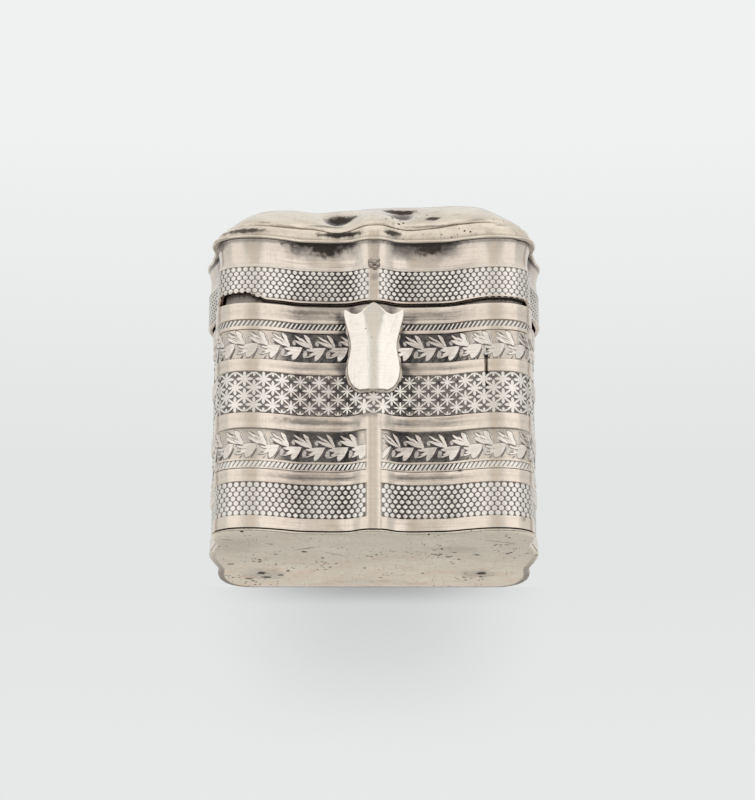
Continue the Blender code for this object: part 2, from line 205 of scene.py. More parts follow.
def stations(outline):
    """How far along the outline each of its points lies, and the whole length."""
    runs = np.linalg.norm(np.roll(outline, -1, axis=0) - outline, axis=1)
    return np.concatenate(([0], np.cumsum(runs)[:-1])), runs.sum()


body_plan = plan()
lid_plan = plan(LID_EXTRA_BOW)
print("points in the outline:", len(body_plan), "length:", round(stations(body_plan)[1] / MM, 1), "mm")

# %% [markdown]
# Old silver is bright where cloths and fingers reach and dark where they don't. That follows the bending of
# the wall: what bulges is rubbed and what is hollow keeps its tarnish. It could be painted by hand. Here
# the bending is measured along the outline, softened over a millimetre or so, and kept as a number from 0,
# rubbed, to 1, hollow.

# %% Where the wall is hollow
SOFTEN_OVER = 1.3 * MM
FLAT_HOLLOW = 0.4
HOLLOW_PER_BEND = 3.0 * MM


def hollowness(outline):
    """For each point of the outline, 0 on a bulge and 1 in a hollow."""
    ahead = np.roll(outline, -1, axis=0) - outline
    behind = outline - np.roll(outline, 1, axis=0)
    turn = np.arctan2(behind[:, 0] * ahead[:, 1] - behind[:, 1] * ahead[:, 0], (ahead * behind).sum(axis=1))
    place, length = stations(outline)
    apart = np.abs(place[:, None] - place[None, :])
    apart = np.minimum(apart, length - apart)
    weight = np.exp(-((apart / SOFTEN_OVER) ** 2)) / (SOFTEN_OVER * math.sqrt(math.pi))
    return np.clip(FLAT_HOLLOW - weight @ turn * HOLLOW_PER_BEND, 0, 1)


body_hollow = hollowness(body_plan)
lid_hollow = hollowness(lid_plan)
print("hollow in the middle of the front and beside it:", body_hollow[0].round(2), body_hollow.max().round(2))

# %% [markdown]
# Materials come before the pieces that wear them. A few small helpers keep the node code short. The silver
# itself is a shader node group, because the wall, the lid, the dome, the plate and the shield are one metal
# in different states. The group gives out a colour, a roughness and a height, and the shader stays in each
# material.

# %% Helpers for nodes
def add(tree, kind, inputs=None, **settings):
    """Add a node. inputs maps a socket's name or number to a value or to the output that feeds it."""
    made = tree.nodes.new(kind)
    for name, value in settings.items():
        setattr(made, name, value)
    for key, value in (inputs or {}).items():
        if isinstance(value, bpy.types.NodeSocket):
            tree.links.new(value, made.inputs[key])
        else:
            made.inputs[key].default_value = value
    return made


def calc(tree, operation, *values, clamp=False):
    """One step of arithmetic on numbers and sockets."""
    made = add(tree, "ShaderNodeMath", dict(enumerate(values)), operation=operation, use_clamp=clamp)
    return made.outputs[0]


def blend(tree, share, below, above):
    """Mix two colours."""
    made = add(tree, "ShaderNodeMix", {0: share, 6: below, 7: above}, data_type="RGBA", clamp_factor=True)
    return made.outputs[2]


def ranged(tree, value, span, low=0.0, high=1.0):
    """Turn the numbers of a span into the numbers from low to high, and hold them there outside it."""
    inputs = {0: value, 1: span[0], 2: span[1], 3: low, 4: high}
    return add(tree, "ShaderNodeMapRange", inputs).outputs[0]


def group(name, kind, inputs, outputs):
    """A node group with named sockets, and its two end nodes."""
    tree = bpy.data.node_groups.new(name, kind)
    for names, side in ((inputs, "INPUT"), (outputs, "OUTPUT")):
        for label, socket in names:
            tree.interface.new_socket(label, in_out=side, socket_type="NodeSocket" + socket)
    return tree, add(tree, "NodeGroupInput").outputs, add(tree, "NodeGroupOutput").inputs

# %% [markdown]
# The tarnish has four layers. Clouds of warm toning lie over the hollows, a dark skin fills the cut ground
# of the ornament, streaks follow the way the sheet was rolled and polished, and specks break every edge.
# All of them are noise on object coordinates, so they are fixed to the metal. A scale of 1000 gives
# features of about a millimetre.

# %% The silver's node group
CLOUD_SCALE = 330
SPECK_SCALE = 2600
GRAIN_SCALE = 8000
WALL_STREAKS = (170, 170, 6500)
SHEET_STREAKS = (420, 900, 900)
CLOUD_FROM_TO = (0.46, 0.66)
STREAK_FROM_TO = (0.47, 0.66)
DARK_ON_BULGE = 0.75
FILM_ON_BULGE = 0.15
SPECK_RAGGED = 0.45
CLOUD_FILM = 0.75
STREAK_FILM = 0.7
SPECK_DULLS = 0.25
FILM_DULLS = 0.35
HEIGHT_SHARES = {"speck": 0.5, "streak": 0.5, "grain": 0.3, "cloud": 1.6}

silver_inputs = (
    ("Silver", "Color"), ("Toning", "Color"), ("Tarnish", "Color"), ("Tone", "Float"), ("Hollow", "Float"),
    ("Darkening", "Float"), ("Warmth", "Float"), ("Smooth", "Float"), ("Rough", "Float"), ("Streaks", "Vector"),
)
silver_outputs = (("Color", "Color"), ("Roughness", "Float"), ("Height", "Float"))
silver_tree, given, result = group("aged silver", "ShaderNodeTree", silver_inputs, silver_outputs)
place = add(silver_tree, "ShaderNodeTexCoord").outputs["Object"]
stretched = add(silver_tree, "ShaderNodeMapping", {"Vector": place, "Scale": given["Streaks"]}).outputs[0]
layers = (
    ("cloud", place, CLOUD_SCALE, 5.0), ("speck", place, SPECK_SCALE, 3.0),
    ("grain", place, GRAIN_SCALE, 2.0), ("streak", stretched, 1.0, 4.0),
)
noises = {}
for label, where, size, detail in layers:
    made = add(silver_tree, "ShaderNodeTexNoise", {"Vector": where, "Scale": size, "Detail": detail})
    noises[label] = made.outputs[0]
patchy = ranged(silver_tree, noises["cloud"], CLOUD_FROM_TO)
lined = ranged(silver_tree, noises["streak"], STREAK_FROM_TO)
# The tone carries painted shade as well as tarnish, so this dark mix paints shade too
shade = calc(silver_tree, "SUBTRACT", 1.0, given["Tone"])
kept = calc(silver_tree, "MULTIPLY_ADD", given["Hollow"], 1 - DARK_ON_BULGE, DARK_ON_BULGE)
speck = calc(silver_tree, "SUBTRACT", noises["speck"], 0.5)
ragged = calc(silver_tree, "MULTIPLY_ADD", speck, SPECK_RAGGED, shade)
dark = calc(silver_tree, "MULTIPLY", calc(silver_tree, "MULTIPLY", ragged, kept), given["Darkening"], clamp=True)
clouds = calc(silver_tree, "MULTIPLY", patchy, CLOUD_FILM)
film = calc(silver_tree, "MULTIPLY_ADD", lined, STREAK_FILM, clouds)
reach = calc(silver_tree, "MULTIPLY_ADD", given["Hollow"], 1 - FILM_ON_BULGE, FILM_ON_BULGE)
warm = calc(silver_tree, "MULTIPLY", calc(silver_tree, "MULTIPLY", film, reach), given["Warmth"], clamp=True)
toned = blend(silver_tree, warm, given["Silver"], given["Toning"])
silver_tree.links.new(blend(silver_tree, dark, toned, given["Tarnish"]), result["Color"])

filmed = calc(silver_tree, "MULTIPLY", warm, FILM_DULLS)
dulled = calc(silver_tree, "MULTIPLY_ADD", noises["speck"], SPECK_DULLS, filmed)
dulled = calc(silver_tree, "MAXIMUM", dulled, dark)
spread = calc(silver_tree, "SUBTRACT", given["Rough"], given["Smooth"])
dulled = calc(silver_tree, "MULTIPLY_ADD", dulled, spread, given["Smooth"])
silver_tree.links.new(dulled, result["Roughness"])
height = 0.0
for label, share in HEIGHT_SHARES.items():
    height = calc(silver_tree, "MULTIPLY_ADD", noises[label], share, height)
silver_tree.links.new(height, result["Height"])
print("nodes in the silver group:", len(silver_tree.nodes))

# %% [markdown]
# Flat sheet that rests on tables gets pits, stains and scratches. A second group makes them: cells of a
# Voronoi texture give round pits, a noise decides where they gather, and two stretched noises draw thin
# lines that cross. It puts out masks only, so each material decides how dark and how deep they are.

# %% The wear's node group
GATHER_SCALE = 210.0
GATHER_FROM = 0.38
PIT_SHARPNESS = 9.0
BLOT_SCALE = 420.0
BLOT_WARP = 0.6
BLOT_FROM = 0.78
BLOT_SHARPNESS = 8.0
SCRATCH_TILT = 0.3
SCRATCH_FROM = 0.68
SCRATCH_SHARPNESS = 14.0

# Each set of scratches gives its turn in degrees and the scales that stretch its noise into lines
SCRATCH_SETS = ((35, (260, 9000, 260)), (-62, (9000, 320, 320)))

wear_tree, given, result = group(
    "pits and scratches",
    "ShaderNodeTree",
    (("Pit Scale", "Float"), ("Pits", "Float"), ("Stains", "Float"), ("Scratches", "Float")),
    (("Pits", "Float"), ("Stains", "Float"), ("Scratches", "Float")),
)
place = add(wear_tree, "ShaderNodeTexCoord").outputs["Object"]
cells = add(wear_tree, "ShaderNodeTexVoronoi", {"Vector": place, "Scale": given["Pit Scale"]})
gather = add(wear_tree, "ShaderNodeTexNoise", {"Vector": place, "Scale": GATHER_SCALE, "Detail": 2.0})
gather = calc(wear_tree, "SUBTRACT", gather.outputs[0], GATHER_FROM)
size = calc(wear_tree, "MULTIPLY", gather, given["Pits"])
near = calc(wear_tree, "SUBTRACT", size, cells.outputs["Distance"])
wear_tree.links.new(calc(wear_tree, "MULTIPLY", near, PIT_SHARPNESS, clamp=True), result["Pits"])
blot = {"Vector": place, "Scale": BLOT_SCALE, "Detail": 5.0, "Distortion": BLOT_WARP}
blot = add(wear_tree, "ShaderNodeTexNoise", blot).outputs[0]
over = calc(wear_tree, "SUBTRACT", blot, calc(wear_tree, "SUBTRACT", BLOT_FROM, given["Stains"]))
wear_tree.links.new(calc(wear_tree, "MULTIPLY", over, BLOT_SHARPNESS, clamp=True), result["Stains"])
lines = []
for turn, stretch in SCRATCH_SETS:
    angle = math.radians(turn)
    spun = {"Vector": place, "Rotation": (SCRATCH_TILT, angle, angle), "Scale": stretch}
    turned = add(wear_tree, "ShaderNodeMapping", spun).outputs[0]
    line = add(wear_tree, "ShaderNodeTexNoise", {"Vector": turned, "Scale": 1.0, "Detail": 1.0}).outputs[0]
    line = calc(wear_tree, "SUBTRACT", line, SCRATCH_FROM)
    lines.append(calc(wear_tree, "MULTIPLY", line, SCRATCH_SHARPNESS, clamp=True))
crossed = calc(wear_tree, "MULTIPLY", calc(wear_tree, "MAXIMUM", *lines), given["Scratches"])
wear_tree.links.new(crossed, result["Scratches"])
print("nodes in the wear group:", len(wear_tree.nodes))

# %% [markdown]
# Some marks belong to one place: a dark stain on the plate, a dark patch in one fold of the dome. A third
# group makes such a mark. It moves, turns and scales the coordinates so that the mark is a ball of radius 1,
# and warps them a little so that its edge is ragged.

# %% The mark's node group
MARK_WARP_SCALE = 1900.0
MARK_FROM_TO = (1.15, 0.45)

mark_inputs = (("Place", "Vector"), ("Turn", "Vector"), ("Half Sizes", "Vector"), ("Ragged", "Float"))
mark_tree, given, result = group("stained mark", "ShaderNodeTree", mark_inputs, (("Mark", "Float"),))
place = add(mark_tree, "ShaderNodeTexCoord").outputs["Object"]
warp = {"Vector": place, "Scale": MARK_WARP_SCALE, "Detail": 4.0}
warp = add(mark_tree, "ShaderNodeTexNoise", warp).outputs["Color"]
warp = {0: warp, 1: (0.5, 0.5, 0.5)}
warp = add(mark_tree, "ShaderNodeVectorMath", warp, operation="SUBTRACT").outputs[0]
warp = {0: warp, "Scale": given["Ragged"]}
warp = add(mark_tree, "ShaderNodeVectorMath", warp, operation="SCALE").outputs[0]
ball = {"Vector": place, "Location": given["Place"], "Rotation": given["Turn"], "Scale": given["Half Sizes"]}
ball = add(mark_tree, "ShaderNodeMapping", ball, vector_type="TEXTURE").outputs[0]
ball = add(mark_tree, "ShaderNodeVectorMath", {0: ball, 1: warp}, operation="ADD").outputs[0]
reach = add(mark_tree, "ShaderNodeVectorMath", {0: ball}, operation="LENGTH").outputs["Value"]
fade = {0: reach, 1: MARK_FROM_TO[0], 2: MARK_FROM_TO[1]}
fade = add(mark_tree, "ShaderNodeMapRange", fade, interpolation_type="SMOOTHSTEP").outputs[0]
mark_tree.links.new(fade, result["Mark"])
print("nodes in the mark group:", len(mark_tree.nodes))

# %% [markdown]
# Each finish of the box is one call with its own values. The tone and the hollow come from attributes on
# the mesh, which the pieces store as they are built. The constant numbers sit on the shader's own sockets.

# %% The finishes
SILVER = (0.82, 0.72, 0.62, 1)
TONING = (0.25, 0.185, 0.165, 1)
# The dark of tarnish, which also paints shade where a piece's tone is lowered for it
TARNISH_AND_SHADE = (0.043, 0.043, 0.047, 1)
STAIN = (0.10, 0.085, 0.075, 1)
DARKENING = 1.0
STAIN_STRENGTH = 0.8
SCRATCH_STRENGTH = 0.4
BUMP_DISTANCE = 0.05 * MM


def finish(
    name, silver=SILVER, toning=TONING, warmth=0.75, smooth=0.14, rough=0.5, pit_scale=1500.0, pits=0.0,
    stains=0.0, scratches=0.25, bump=0.22, marks=(), ragged=1.1, streaks=WALL_STREAKS,
):
    """A material for one part of the box."""
    material = bpy.data.materials.new(name)
    material.use_nodes = True
    tree = material.node_tree
    shader = tree.nodes["Principled BSDF"]
    metal = add(tree, "ShaderNodeGroup", node_tree=silver_tree)
    values = {"Silver": silver, "Toning": toning, "Tarnish": TARNISH_AND_SHADE, "Darkening": DARKENING, "Warmth": warmth}
    values.update({"Smooth": smooth, "Rough": rough, "Streaks": streaks})
    for label, value in values.items():
        metal.inputs[label].default_value = value
    for label in ("tone", "hollow"):
        mark = add(tree, "ShaderNodeAttribute", attribute_name=label)
        tree.links.new(mark.outputs["Fac"], metal.inputs[label.capitalize()])
    worn = add(tree, "ShaderNodeGroup", node_tree=wear_tree)
    wear = {"Pit Scale": pit_scale, "Pits": pits, "Stains": stains, "Scratches": scratches}
    for label, value in wear.items():
        worn.inputs[label].default_value = value
    stained = calc(tree, "MULTIPLY", worn.outputs["Stains"], STAIN_STRENGTH)
    scratched = calc(tree, "MULTIPLY", worn.outputs["Scratches"], SCRATCH_STRENGTH)
    holes = calc(tree, "MAXIMUM", calc(tree, "MAXIMUM", worn.outputs["Pits"], stained), scratched)
    for middle, half_sizes, turn, strength in marks:
        mark = add(tree, "ShaderNodeGroup", node_tree=mark_tree)
        mark.inputs["Place"].default_value = [value * MM for value in middle]
        mark.inputs["Half Sizes"].default_value = [value * MM for value in half_sizes]
        mark.inputs["Turn"].default_value = [math.radians(value) for value in turn]
        mark.inputs["Ragged"].default_value = ragged
        holes = calc(tree, "MAXIMUM", holes, calc(tree, "MULTIPLY", mark.outputs["Mark"], strength))
    colour = blend(tree, holes, metal.outputs["Color"], STAIN)
    tree.links.new(colour, shader.inputs["Base Color"])
    tree.links.new(calc(tree, "MAXIMUM", metal.outputs["Roughness"], holes), shader.inputs["Roughness"])
    cut = calc(tree, "MAXIMUM", worn.outputs["Pits"], worn.outputs["Scratches"])
    height = calc(tree, "SUBTRACT", metal.outputs["Height"], cut)
    relief = add(tree, "ShaderNodeBump", {"Strength": bump, "Distance": BUMP_DISTANCE, "Height": height})
    tree.links.new(relief.outputs[0], shader.inputs["Normal"])
    shader.inputs["Metallic"].default_value = 1.0
    return material

# %% [markdown]
# Some marks were read off the real box one by one: dark patches under the flange, grease in the grooves,
# stains on the plate, dark folds of the dome. They could be painted on an image. A table in millimetres stays
# right when the light or the camera changes. The split beside the right bow darkens the ornament too.

# %% Tables of marks
FLAT = (0, 0, 0)

# Each mark gives its middle and half sizes in millimetres, its turn in degrees and its strength
COVE_MARKS = (
    ((-5.4, -9, 29.8), (4.2, 4, 0.75), FLAT, 0.9), ((-4.6, -9, 29.2), (2.1, 4, 0.95), FLAT, 0.9),
    ((-7.8, -9, 29.4), (1.1, 4, 0.8), FLAT, 0.45), ((5.2, -9, 29.85), (4.8, 4, 0.62), FLAT, 0.85),
    ((5.5, -9, 29.3), (2.0, 4, 0.85), FLAT, 0.85), ((-15.0, -8, 29.5), (0.7, 6, 0.7), FLAT, 0.6),
    ((14.3, -8, 29.9), (1.6, 6, 0.25), FLAT, 0.7), ((0.1, -10, 26.0), (0.5, 4, 0.5), FLAT, 0.35),
    ((0.9, -10, 24.6), (0.7, 4, 0.3), FLAT, 0.4),
)
WALL_MARKS = (
    ((-5.9, -9, 22.5), (3.4, 4, 0.3), FLAT, 0.5), ((-5.5, -9, 22.9), (4.6, 4, 0.9), FLAT, 0.2),
    ((5.8, -9, 22.4), (3.0, 4, 0.18), FLAT, 0.35), ((-6.6, -9, 11.3), (4.0, 4, 0.32), FLAT, 0.45),
    ((3.8, -9, 11.4), (2.4, 4, 0.2), FLAT, 0.35), ((-6.6, -9, 5.6), (4.2, 4, 0.27), FLAT, 0.38),
    ((5.2, -9, 5.7), (3.8, 4, 0.2), FLAT, 0.35), ((8.3, -8.5, 6.3), (0.4, 3, 0.3), FLAT, 0.85),
    ((14.4, -8, 1.4), (0.4, 3, 0.45), FLAT, 0.7), ((-9.5, -9, 18.4), (0.45, 4, 0.5), FLAT, 0.55),
    ((-14.6, -8, 7.7), (0.5, 4, 0.4), FLAT, 0.7),
)
SPLIT_MARKS = (
    ((10.72, -8, 17.5), (0.13, 4, 1.0), (0, -4, 0), 0.9),
    ((10.92, -8, 16.3), (0.15, 4, 0.9), (0, 6, 0), 0.95),
    ((10.85, -8, 15.0), (0.12, 4, 0.9), (0, -5, 0), 0.9),
)
DOME_MARKS = (
    ((-12.7, -9, 30.75), (2.6, 5, 0.38), FLAT, 0.8), ((-3.3, -10, 30.8), (2.6, 4, 0.46), FLAT, 0.95),
    ((-4.6, -8, 32.0), (2.0, 4, 0.22), FLAT, 0.5), ((-3.1, -5.5, 33.6), (2.1, 3, 0.85), FLAT, 0.95),
    ((1.9, -10, 30.85), (1.0, 3, 0.4), FLAT, 0.85), ((2.6, -4.5, 34.8), (2.2, 3, 0.55), FLAT, 0.95),
    ((5.9, -8, 33.0), (0.9, 3, 0.32), FLAT, 0.85), ((5.3, -9, 31.9), (3.0, 4, 0.2), FLAT, 0.5),
    ((8.3, -7, 33.2), (0.8, 3, 0.2), FLAT, 0.35), ((-9.0, -9, 31.6), (1.5, 4, 0.28), FLAT, 0.4),
    ((-10.8, -9, 31.9), (0.9, 4, 0.16), FLAT, 0.35), ((10.2, -9, 32.2), (1.2, 4, 0.16), FLAT, 0.4),
    ((12.6, -9, 31.4), (0.8, 4, 0.14), FLAT, 0.4),
)
PLATE_MARKS = (
    ((-14.2, -7.9, 0), (0.7, 0.16, 1), (0, 0, 18), 0.7),
    ((-10.1, -6.1, 0), (0.55, 0.16, 1), (0, 0, 10), 0.75), ((-9.6, -2.2, 0), (0.25, 0.3, 1), FLAT, 0.7),
    ((-6.8, -3.3, 0), (0.34, 0.34, 1), FLAT, 0.9), ((-5.0, -0.9, 0), (0.22, 0.3, 1), FLAT, 0.85),
    ((-11.3, 5.2, 0), (0.62, 0.9, 1), FLAT, 0.9), ((-10.8, 6.9, 0), (0.7, 0.5, 1), FLAT, 0.85),
    ((-9.4, 6.0, 0), (0.4, 0.5, 1), FLAT, 0.7), ((-8.6, 4.4, 0), (0.25, 0.4, 1), FLAT, 0.75),
    ((-0.9, 3.2, 0), (0.2, 0.3, 1), FLAT, 0.8), ((4.9, 5.6, 0), (0.2, 0.3, 1), FLAT, 0.85),
    ((10.8, 5.2, 0), (0.75, 0.75, 1), (0, 0, 24), 0.95), ((9.2, 5.2, 0), (0.25, 0.3, 1), FLAT, 0.75),
    ((7.9, -3.0, 0), (0.3, 0.3, 1), FLAT, 0.7), ((10.1, -2.2, 0), (0.5, 0.3, 1), (0, 0, 35), 0.75),
    ((13.0, -6.2, 0), (0.9, 0.12, 1), (0, 0, -28), 0.7), ((-11.2, 5.6, 0), (2.6, 2.6, 1), FLAT, 0.3),
    ((10.4, 5.4, 0), (2.2, 2.0, 1), FLAT, 0.3), ((-13.4, -5.6, 0), (2.6, 3.0, 1), FLAT, 0.18),
    ((8.2, -4.2, 0), (2.8, 1.6, 1), FLAT, 0.2), ((-6.5, -4.5, 0), (1.6, 0.2, 1), (0, 0, -30), 0.6),
    ((12.0, -7.2, 0), (2.0, 0.16, 1), (0, 0, 22), 0.55),
    ((-3.8, -2.4, 0), (1.4, 0.14, 1), (0, 0, 38), 0.5), ((-0.5, 9.4, 0), (7.0, 1.6, 1), FLAT, 0.16),
    ((-14.2, 1.6, 0), (0.5, 0.4, 1), FLAT, 0.6), ((-12.6, 7.6, 0), (0.5, 0.4, 1), FLAT, 0.8),
)
marked = {"wall": WALL_MARKS, "cove": COVE_MARKS, "dome": DOME_MARKS, "plate": PLATE_MARKS}
print("marks:", {place: len(table) for place, table in marked.items()})

# %% [markdown]
# The pieces wear different states of one silver. The ornament is duller than the plain strip, because its
# cuts scatter the light. The dome and the plate are pitted and scratched, and the plate has kept a pale
# yellow film. The thumb keeps the shield bright. The liner and the hinge were never polished.

# %% The materials
case_silver = finish("case_silver", marks=WALL_MARKS + SPLIT_MARKS, ragged=1.3)
lid_silver = finish("lid_silver", silver=(0.79, 0.70, 0.61, 1), warmth=0.65, marks=COVE_MARKS, ragged=1.6)
ornament_silver = finish(
    "ornament_silver", silver=(0.88, 0.835, 0.775, 1), warmth=0.5, smooth=0.26, bump=0.15, marks=SPLIT_MARKS
)
leaf_silver = finish(
    "leaf_silver", silver=(0.87, 0.805, 0.735, 1), warmth=0.6, smooth=0.2, bump=0.15, marks=SPLIT_MARKS
)
dome_silver = finish(
    "dome_silver", silver=(0.80, 0.70, 0.585, 1), warmth=0.7, pits=0.78, stains=0.05, scratches=0.45,
    marks=DOME_MARKS, streaks=SHEET_STREAKS,
)
plate_silver = finish(
    "plate_silver", silver=(0.93, 0.84, 0.70, 1), toning=(0.86, 0.68, 0.54, 1), warmth=0.9, smooth=0.3,
    pits=1.15, scratches=1.0, bump=0.4, marks=PLATE_MARKS, ragged=1.7, streaks=SHEET_STREAKS,
)
shield_silver = finish("shield_silver", silver=(0.93, 0.87, 0.79, 1), warmth=0.15, rough=0.3, pits=0.4)
liner_silver = finish("liner_silver", silver=(0.40, 0.35, 0.32, 1), warmth=0.9, smooth=0.3, stains=0.2)
hinge_silver = finish("hinge_silver", silver=(0.66, 0.58, 0.50, 1), warmth=0.6, smooth=0.25, pits=0.4)
solder = finish(
    "solder", silver=(0.74, 0.66, 0.57, 1), warmth=0.7, smooth=0.4, rough=0.7, pits=1.1, pit_scale=2600.0,
    bump=0.6,
)
print("materials in the scene:", len(bpy.data.materials))

# %% [markdown]
# Nearly every piece is a stack of rings round the outline, joined by quads: a moulded wall, a liner, a
# dome. A loft or a curve with a bevel could make them. One function that joins rings was chosen, because it
# can also carry the tone and the hollow of each point, and it can close a stack with a pole or by coming
# back to its start.

# %% Rings into pieces
SHARP_ANGLE = math.radians(38)


def new_piece(name, points, faces, tone, hollow, material, smooth=True):
    """Make an object and store the two marks that its material reads."""
    mesh = bpy.data.meshes.new(name)
    mesh.from_pydata(points, [], faces)
    for label, values in (("tone", tone), ("hollow", hollow)):
        mark = mesh.attributes.new(label, "FLOAT", "POINT")
        mark.data.foreach_set("value", np.broadcast_to(values, len(points)).astype(np.float32).ravel())
    if smooth:
        mesh.shade_smooth()
        mesh.set_sharp_from_angle(angle=SHARP_ANGLE)
    mesh.materials.append(material)
    obj = bpy.data.objects.new(name, mesh)
    scene.collection.objects.link(obj)
    return obj


def join_rings(name, rings, tones, hollow, material, poles=None):
    """Join rings of points. The last ring meets the first, or two poles close both ends."""
    rings = np.array(rings)
    count, around = rings.shape[:2]
    tones = np.broadcast_to(tones, (count, around)).ravel()
    hollow = np.broadcast_to(hollow, (count, around)).ravel()
    numbers = np.arange(count * around).reshape(count, around)
    upper = np.roll(numbers, -1, axis=0) if poles is None else numbers[1:]
    lower = numbers if poles is None else numbers[:-1]
    corners = (lower, np.roll(lower, -1, axis=1), np.roll(upper, -1, axis=1), upper)
    faces = np.stack(corners, axis=-1).reshape(-1, 4).tolist()
    points = rings.reshape(-1, 3)
    if poles is not None:
        first, last = count * around, count * around + 1
        faces += [(first, b, a) for a, b in zip(numbers[0].tolist(), np.roll(numbers[0], -1).tolist())]
        faces += [(last, a, b) for a, b in zip(numbers[-1].tolist(), np.roll(numbers[-1], -1).tolist())]
        points = np.vstack((points, poles))
        tones = np.concatenate((tones, tones[[0, -1]]))
        hollow = np.concatenate((hollow, hollow[[0, -1]]))
    return new_piece(name, points, faces, tones, hollow, material)


def settle(obj, body, slot, *nodes):
    """Fix a finished piece to its body and hide the solids that it stands for. The slot is not used, and
    solder passes none.
    """
    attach(obj, body)
    if nodes:
        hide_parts(*nodes)
    triangles = sum(len(polygon.vertices) - 2 for polygon in obj.data.polygons)
    print(f"{obj.name}: {triangles} triangles")

# %% [markdown]
# The wall is one rolled strip. Its plain mouldings stand proud, and between them the ground of each
# ornament is cut lower. The section is a list of heights, distances outwards and tones, where 1 is polished
# and 0 is cut ground. On the bows the mouldings are rubbed flat, and over the ridge the strip is smooth.

# %% The bands of the wall
BAND_HEIGHTS = {
    "foot": 1.24 * MM, "scales": 3.27 * MM, "lower moulding": 1.40 * MM, "lower rope": 0.95 * MM,
    "lower leaves": 3.02 * MM, "middle moulding": 1.66 * MM, "stars": 4.10 * MM, "upper moulding": 1.36 * MM,
    "upper leaves": 2.96 * MM, "upper rope": 0.96 * MM, "top band": 1.76 * MM,
}
GROUND = -0.04 * MM
GROUND_TONES = {
    "scales": (0.1, 0.05), "lower rope": (0.0, 0.25), "lower leaves": (0.06, 0.8), "stars": (0.22, 0.0),
    "upper leaves": (0.03, 0.8), "upper rope": (0.02, 0.15),
}
ROPE_MARGINS = {"lower rope": (0.14 * MM, 0.20 * MM), "upper rope": (0.33 * MM, 0.0)}
MARGIN_RISE_SHARE = 0.55
MARGIN_FOOT_SHARE = 0.6
MARGIN_FOOT_TONE = 0.8
WALL = 0.5 * MM
ROUNDING = 0.06 * MM
MOUTH_RISE_SHARE = 0.3
MOUTH_TONE = 0.9
INSIDE_TONE = 0.7
INSIDE_FROM = 8 * WALL

# Each point gives a share of the height, a share of the rise, and the tone
FOOT_SHARES = (
    (0.0, 0.78, 0.9), (0.06, 0.86, 1), (0.16, 0.92, 1), (0.5, 1.0, 1), (0.85, 0.9, 1), (0.95, 0.7, 1),
    (1.0, 0.1, 0.3),
)
MOULDING_SHARES = (
    (0.0, 0.0, 0.25), (0.05, 0.75, 1), (0.13, 1.0, 1), (0.24, 0.95, 1), (0.33, 0.62, 0.8),
    (0.42, 0.48, 0.55), (0.50, 0.45, 0.3), (0.58, 0.48, 0.55), (0.67, 0.62, 0.85), (0.76, 0.92, 1),
    (0.86, 1.0, 1), (0.95, 0.75, 1), (1.0, 0.0, 0.25),
)
# The top band's tones are low across its middle, which darkens the band below the lid's edge
TOP_SHARES = (
    (0.0, 0.0, 0.25), (0.04, 0.7, 1), (0.12, 0.9, 1), (0.20, 0.85, 1), (0.24, 0.5, 0.3), (0.28, 0.7, 0.6),
    (0.36, 0.75, 0.5), (0.40, 0.6, 0.3), (0.45, 0.8, 0.48), (0.60, 0.85, 0.6), (0.80, 0.95, 0.8),
    (0.92, 1.0, 1), (0.98, 0.7, 1),
)
levels, rubbed_tones = {}, {}
level = wall_low.z
for label, height in BAND_HEIGHTS.items():
    levels[label] = (level, level + height)
    level += height
for label, (below, above) in ROPE_MARGINS.items():
    foot, top = levels[label]
    levels[label + " slots"] = (foot + below, top - above)
print("mouth of the case:", round(level / MM, 2), "and in the solid:", round(wall_high.z / MM, 2))

# %% [markdown]
# The bands are put together into one section, from the foot up to the mouth and down again on the inside. A
# band of ornament adds only its ground here, and each rope lies between two raised lines.

# %% The section of the wall
def shaped(label, shares):
    """The section of one moulding."""
    foot, top = levels[label]
    return [(foot + (top - foot) * up, MOULDING_RISE * rise, tone) for up, rise, tone in shares]


def ground(label):
    """The cut ground of an ornament."""
    foot, top = levels.get(label + " slots", levels[label])
    heights = np.linspace(foot + ROUNDING, top - ROUNDING, 4)
    fresh, rubbed = GROUND_TONES[label]
    rubbed_tones.update({z: rubbed for z in heights})
    return [(z, GROUND, fresh) for z in heights]


def margin(foot, top):
    """A narrow raised line beside a rope."""
    rise = MOULDING_RISE * MARGIN_RISE_SHARE
    side = (rise * MARGIN_FOOT_SHARE, MARGIN_FOOT_TONE)
    return [(foot, *side), (foot + ROUNDING, rise, 1), (top - ROUNDING, rise, 1), (top, *side)]


section = shaped("foot", FOOT_SHARES) + ground("scales") + shaped("lower moulding", MOULDING_SHARES)
section += margin(levels["lower rope"][0], levels["lower rope slots"][0]) + ground("lower rope")
section += margin(levels["lower rope slots"][1], levels["lower rope"][1]) + ground("lower leaves")
section += shaped("middle moulding", MOULDING_SHARES) + ground("stars")
section += shaped("upper moulding", MOULDING_SHARES)
section += ground("upper leaves") + margin(levels["upper rope"][0], levels["upper rope slots"][0])
section += ground("upper rope") + shaped("top band", TOP_SHARES)
outer_count = len(section)
mouth = wall_high.z
section += [(mouth, MOULDING_RISE * MOUTH_RISE_SHARE, 1), (mouth, -WALL + ROUNDING, MOUTH_TONE)]
section.append((mouth - ROUNDING, -WALL, INSIDE_TONE))
section += [(z, -WALL, INSIDE_TONE) for z in np.linspace(mouth - INSIDE_FROM, wall_low.z, 5)]
print("points in the wall's section:", len(section))

# %% [markdown]
# No part of the sheet is quite even. A slow noise moves it in and out by a few hundredths of a millimetre.
# It depends on the place alone, so every run gives the same box. A smooth step fades one state of the metal
# into another.

# %% Unevenness and fades
WAVER = 0.035 * MM
WAVER_SCALE = 260


def ramp(values, low, high):
    """0 below low, 1 above high, and smooth between them."""
    share = np.clip((values - low) / (high - low), 0, 1)
    return share * share * (3 - 2 * share)


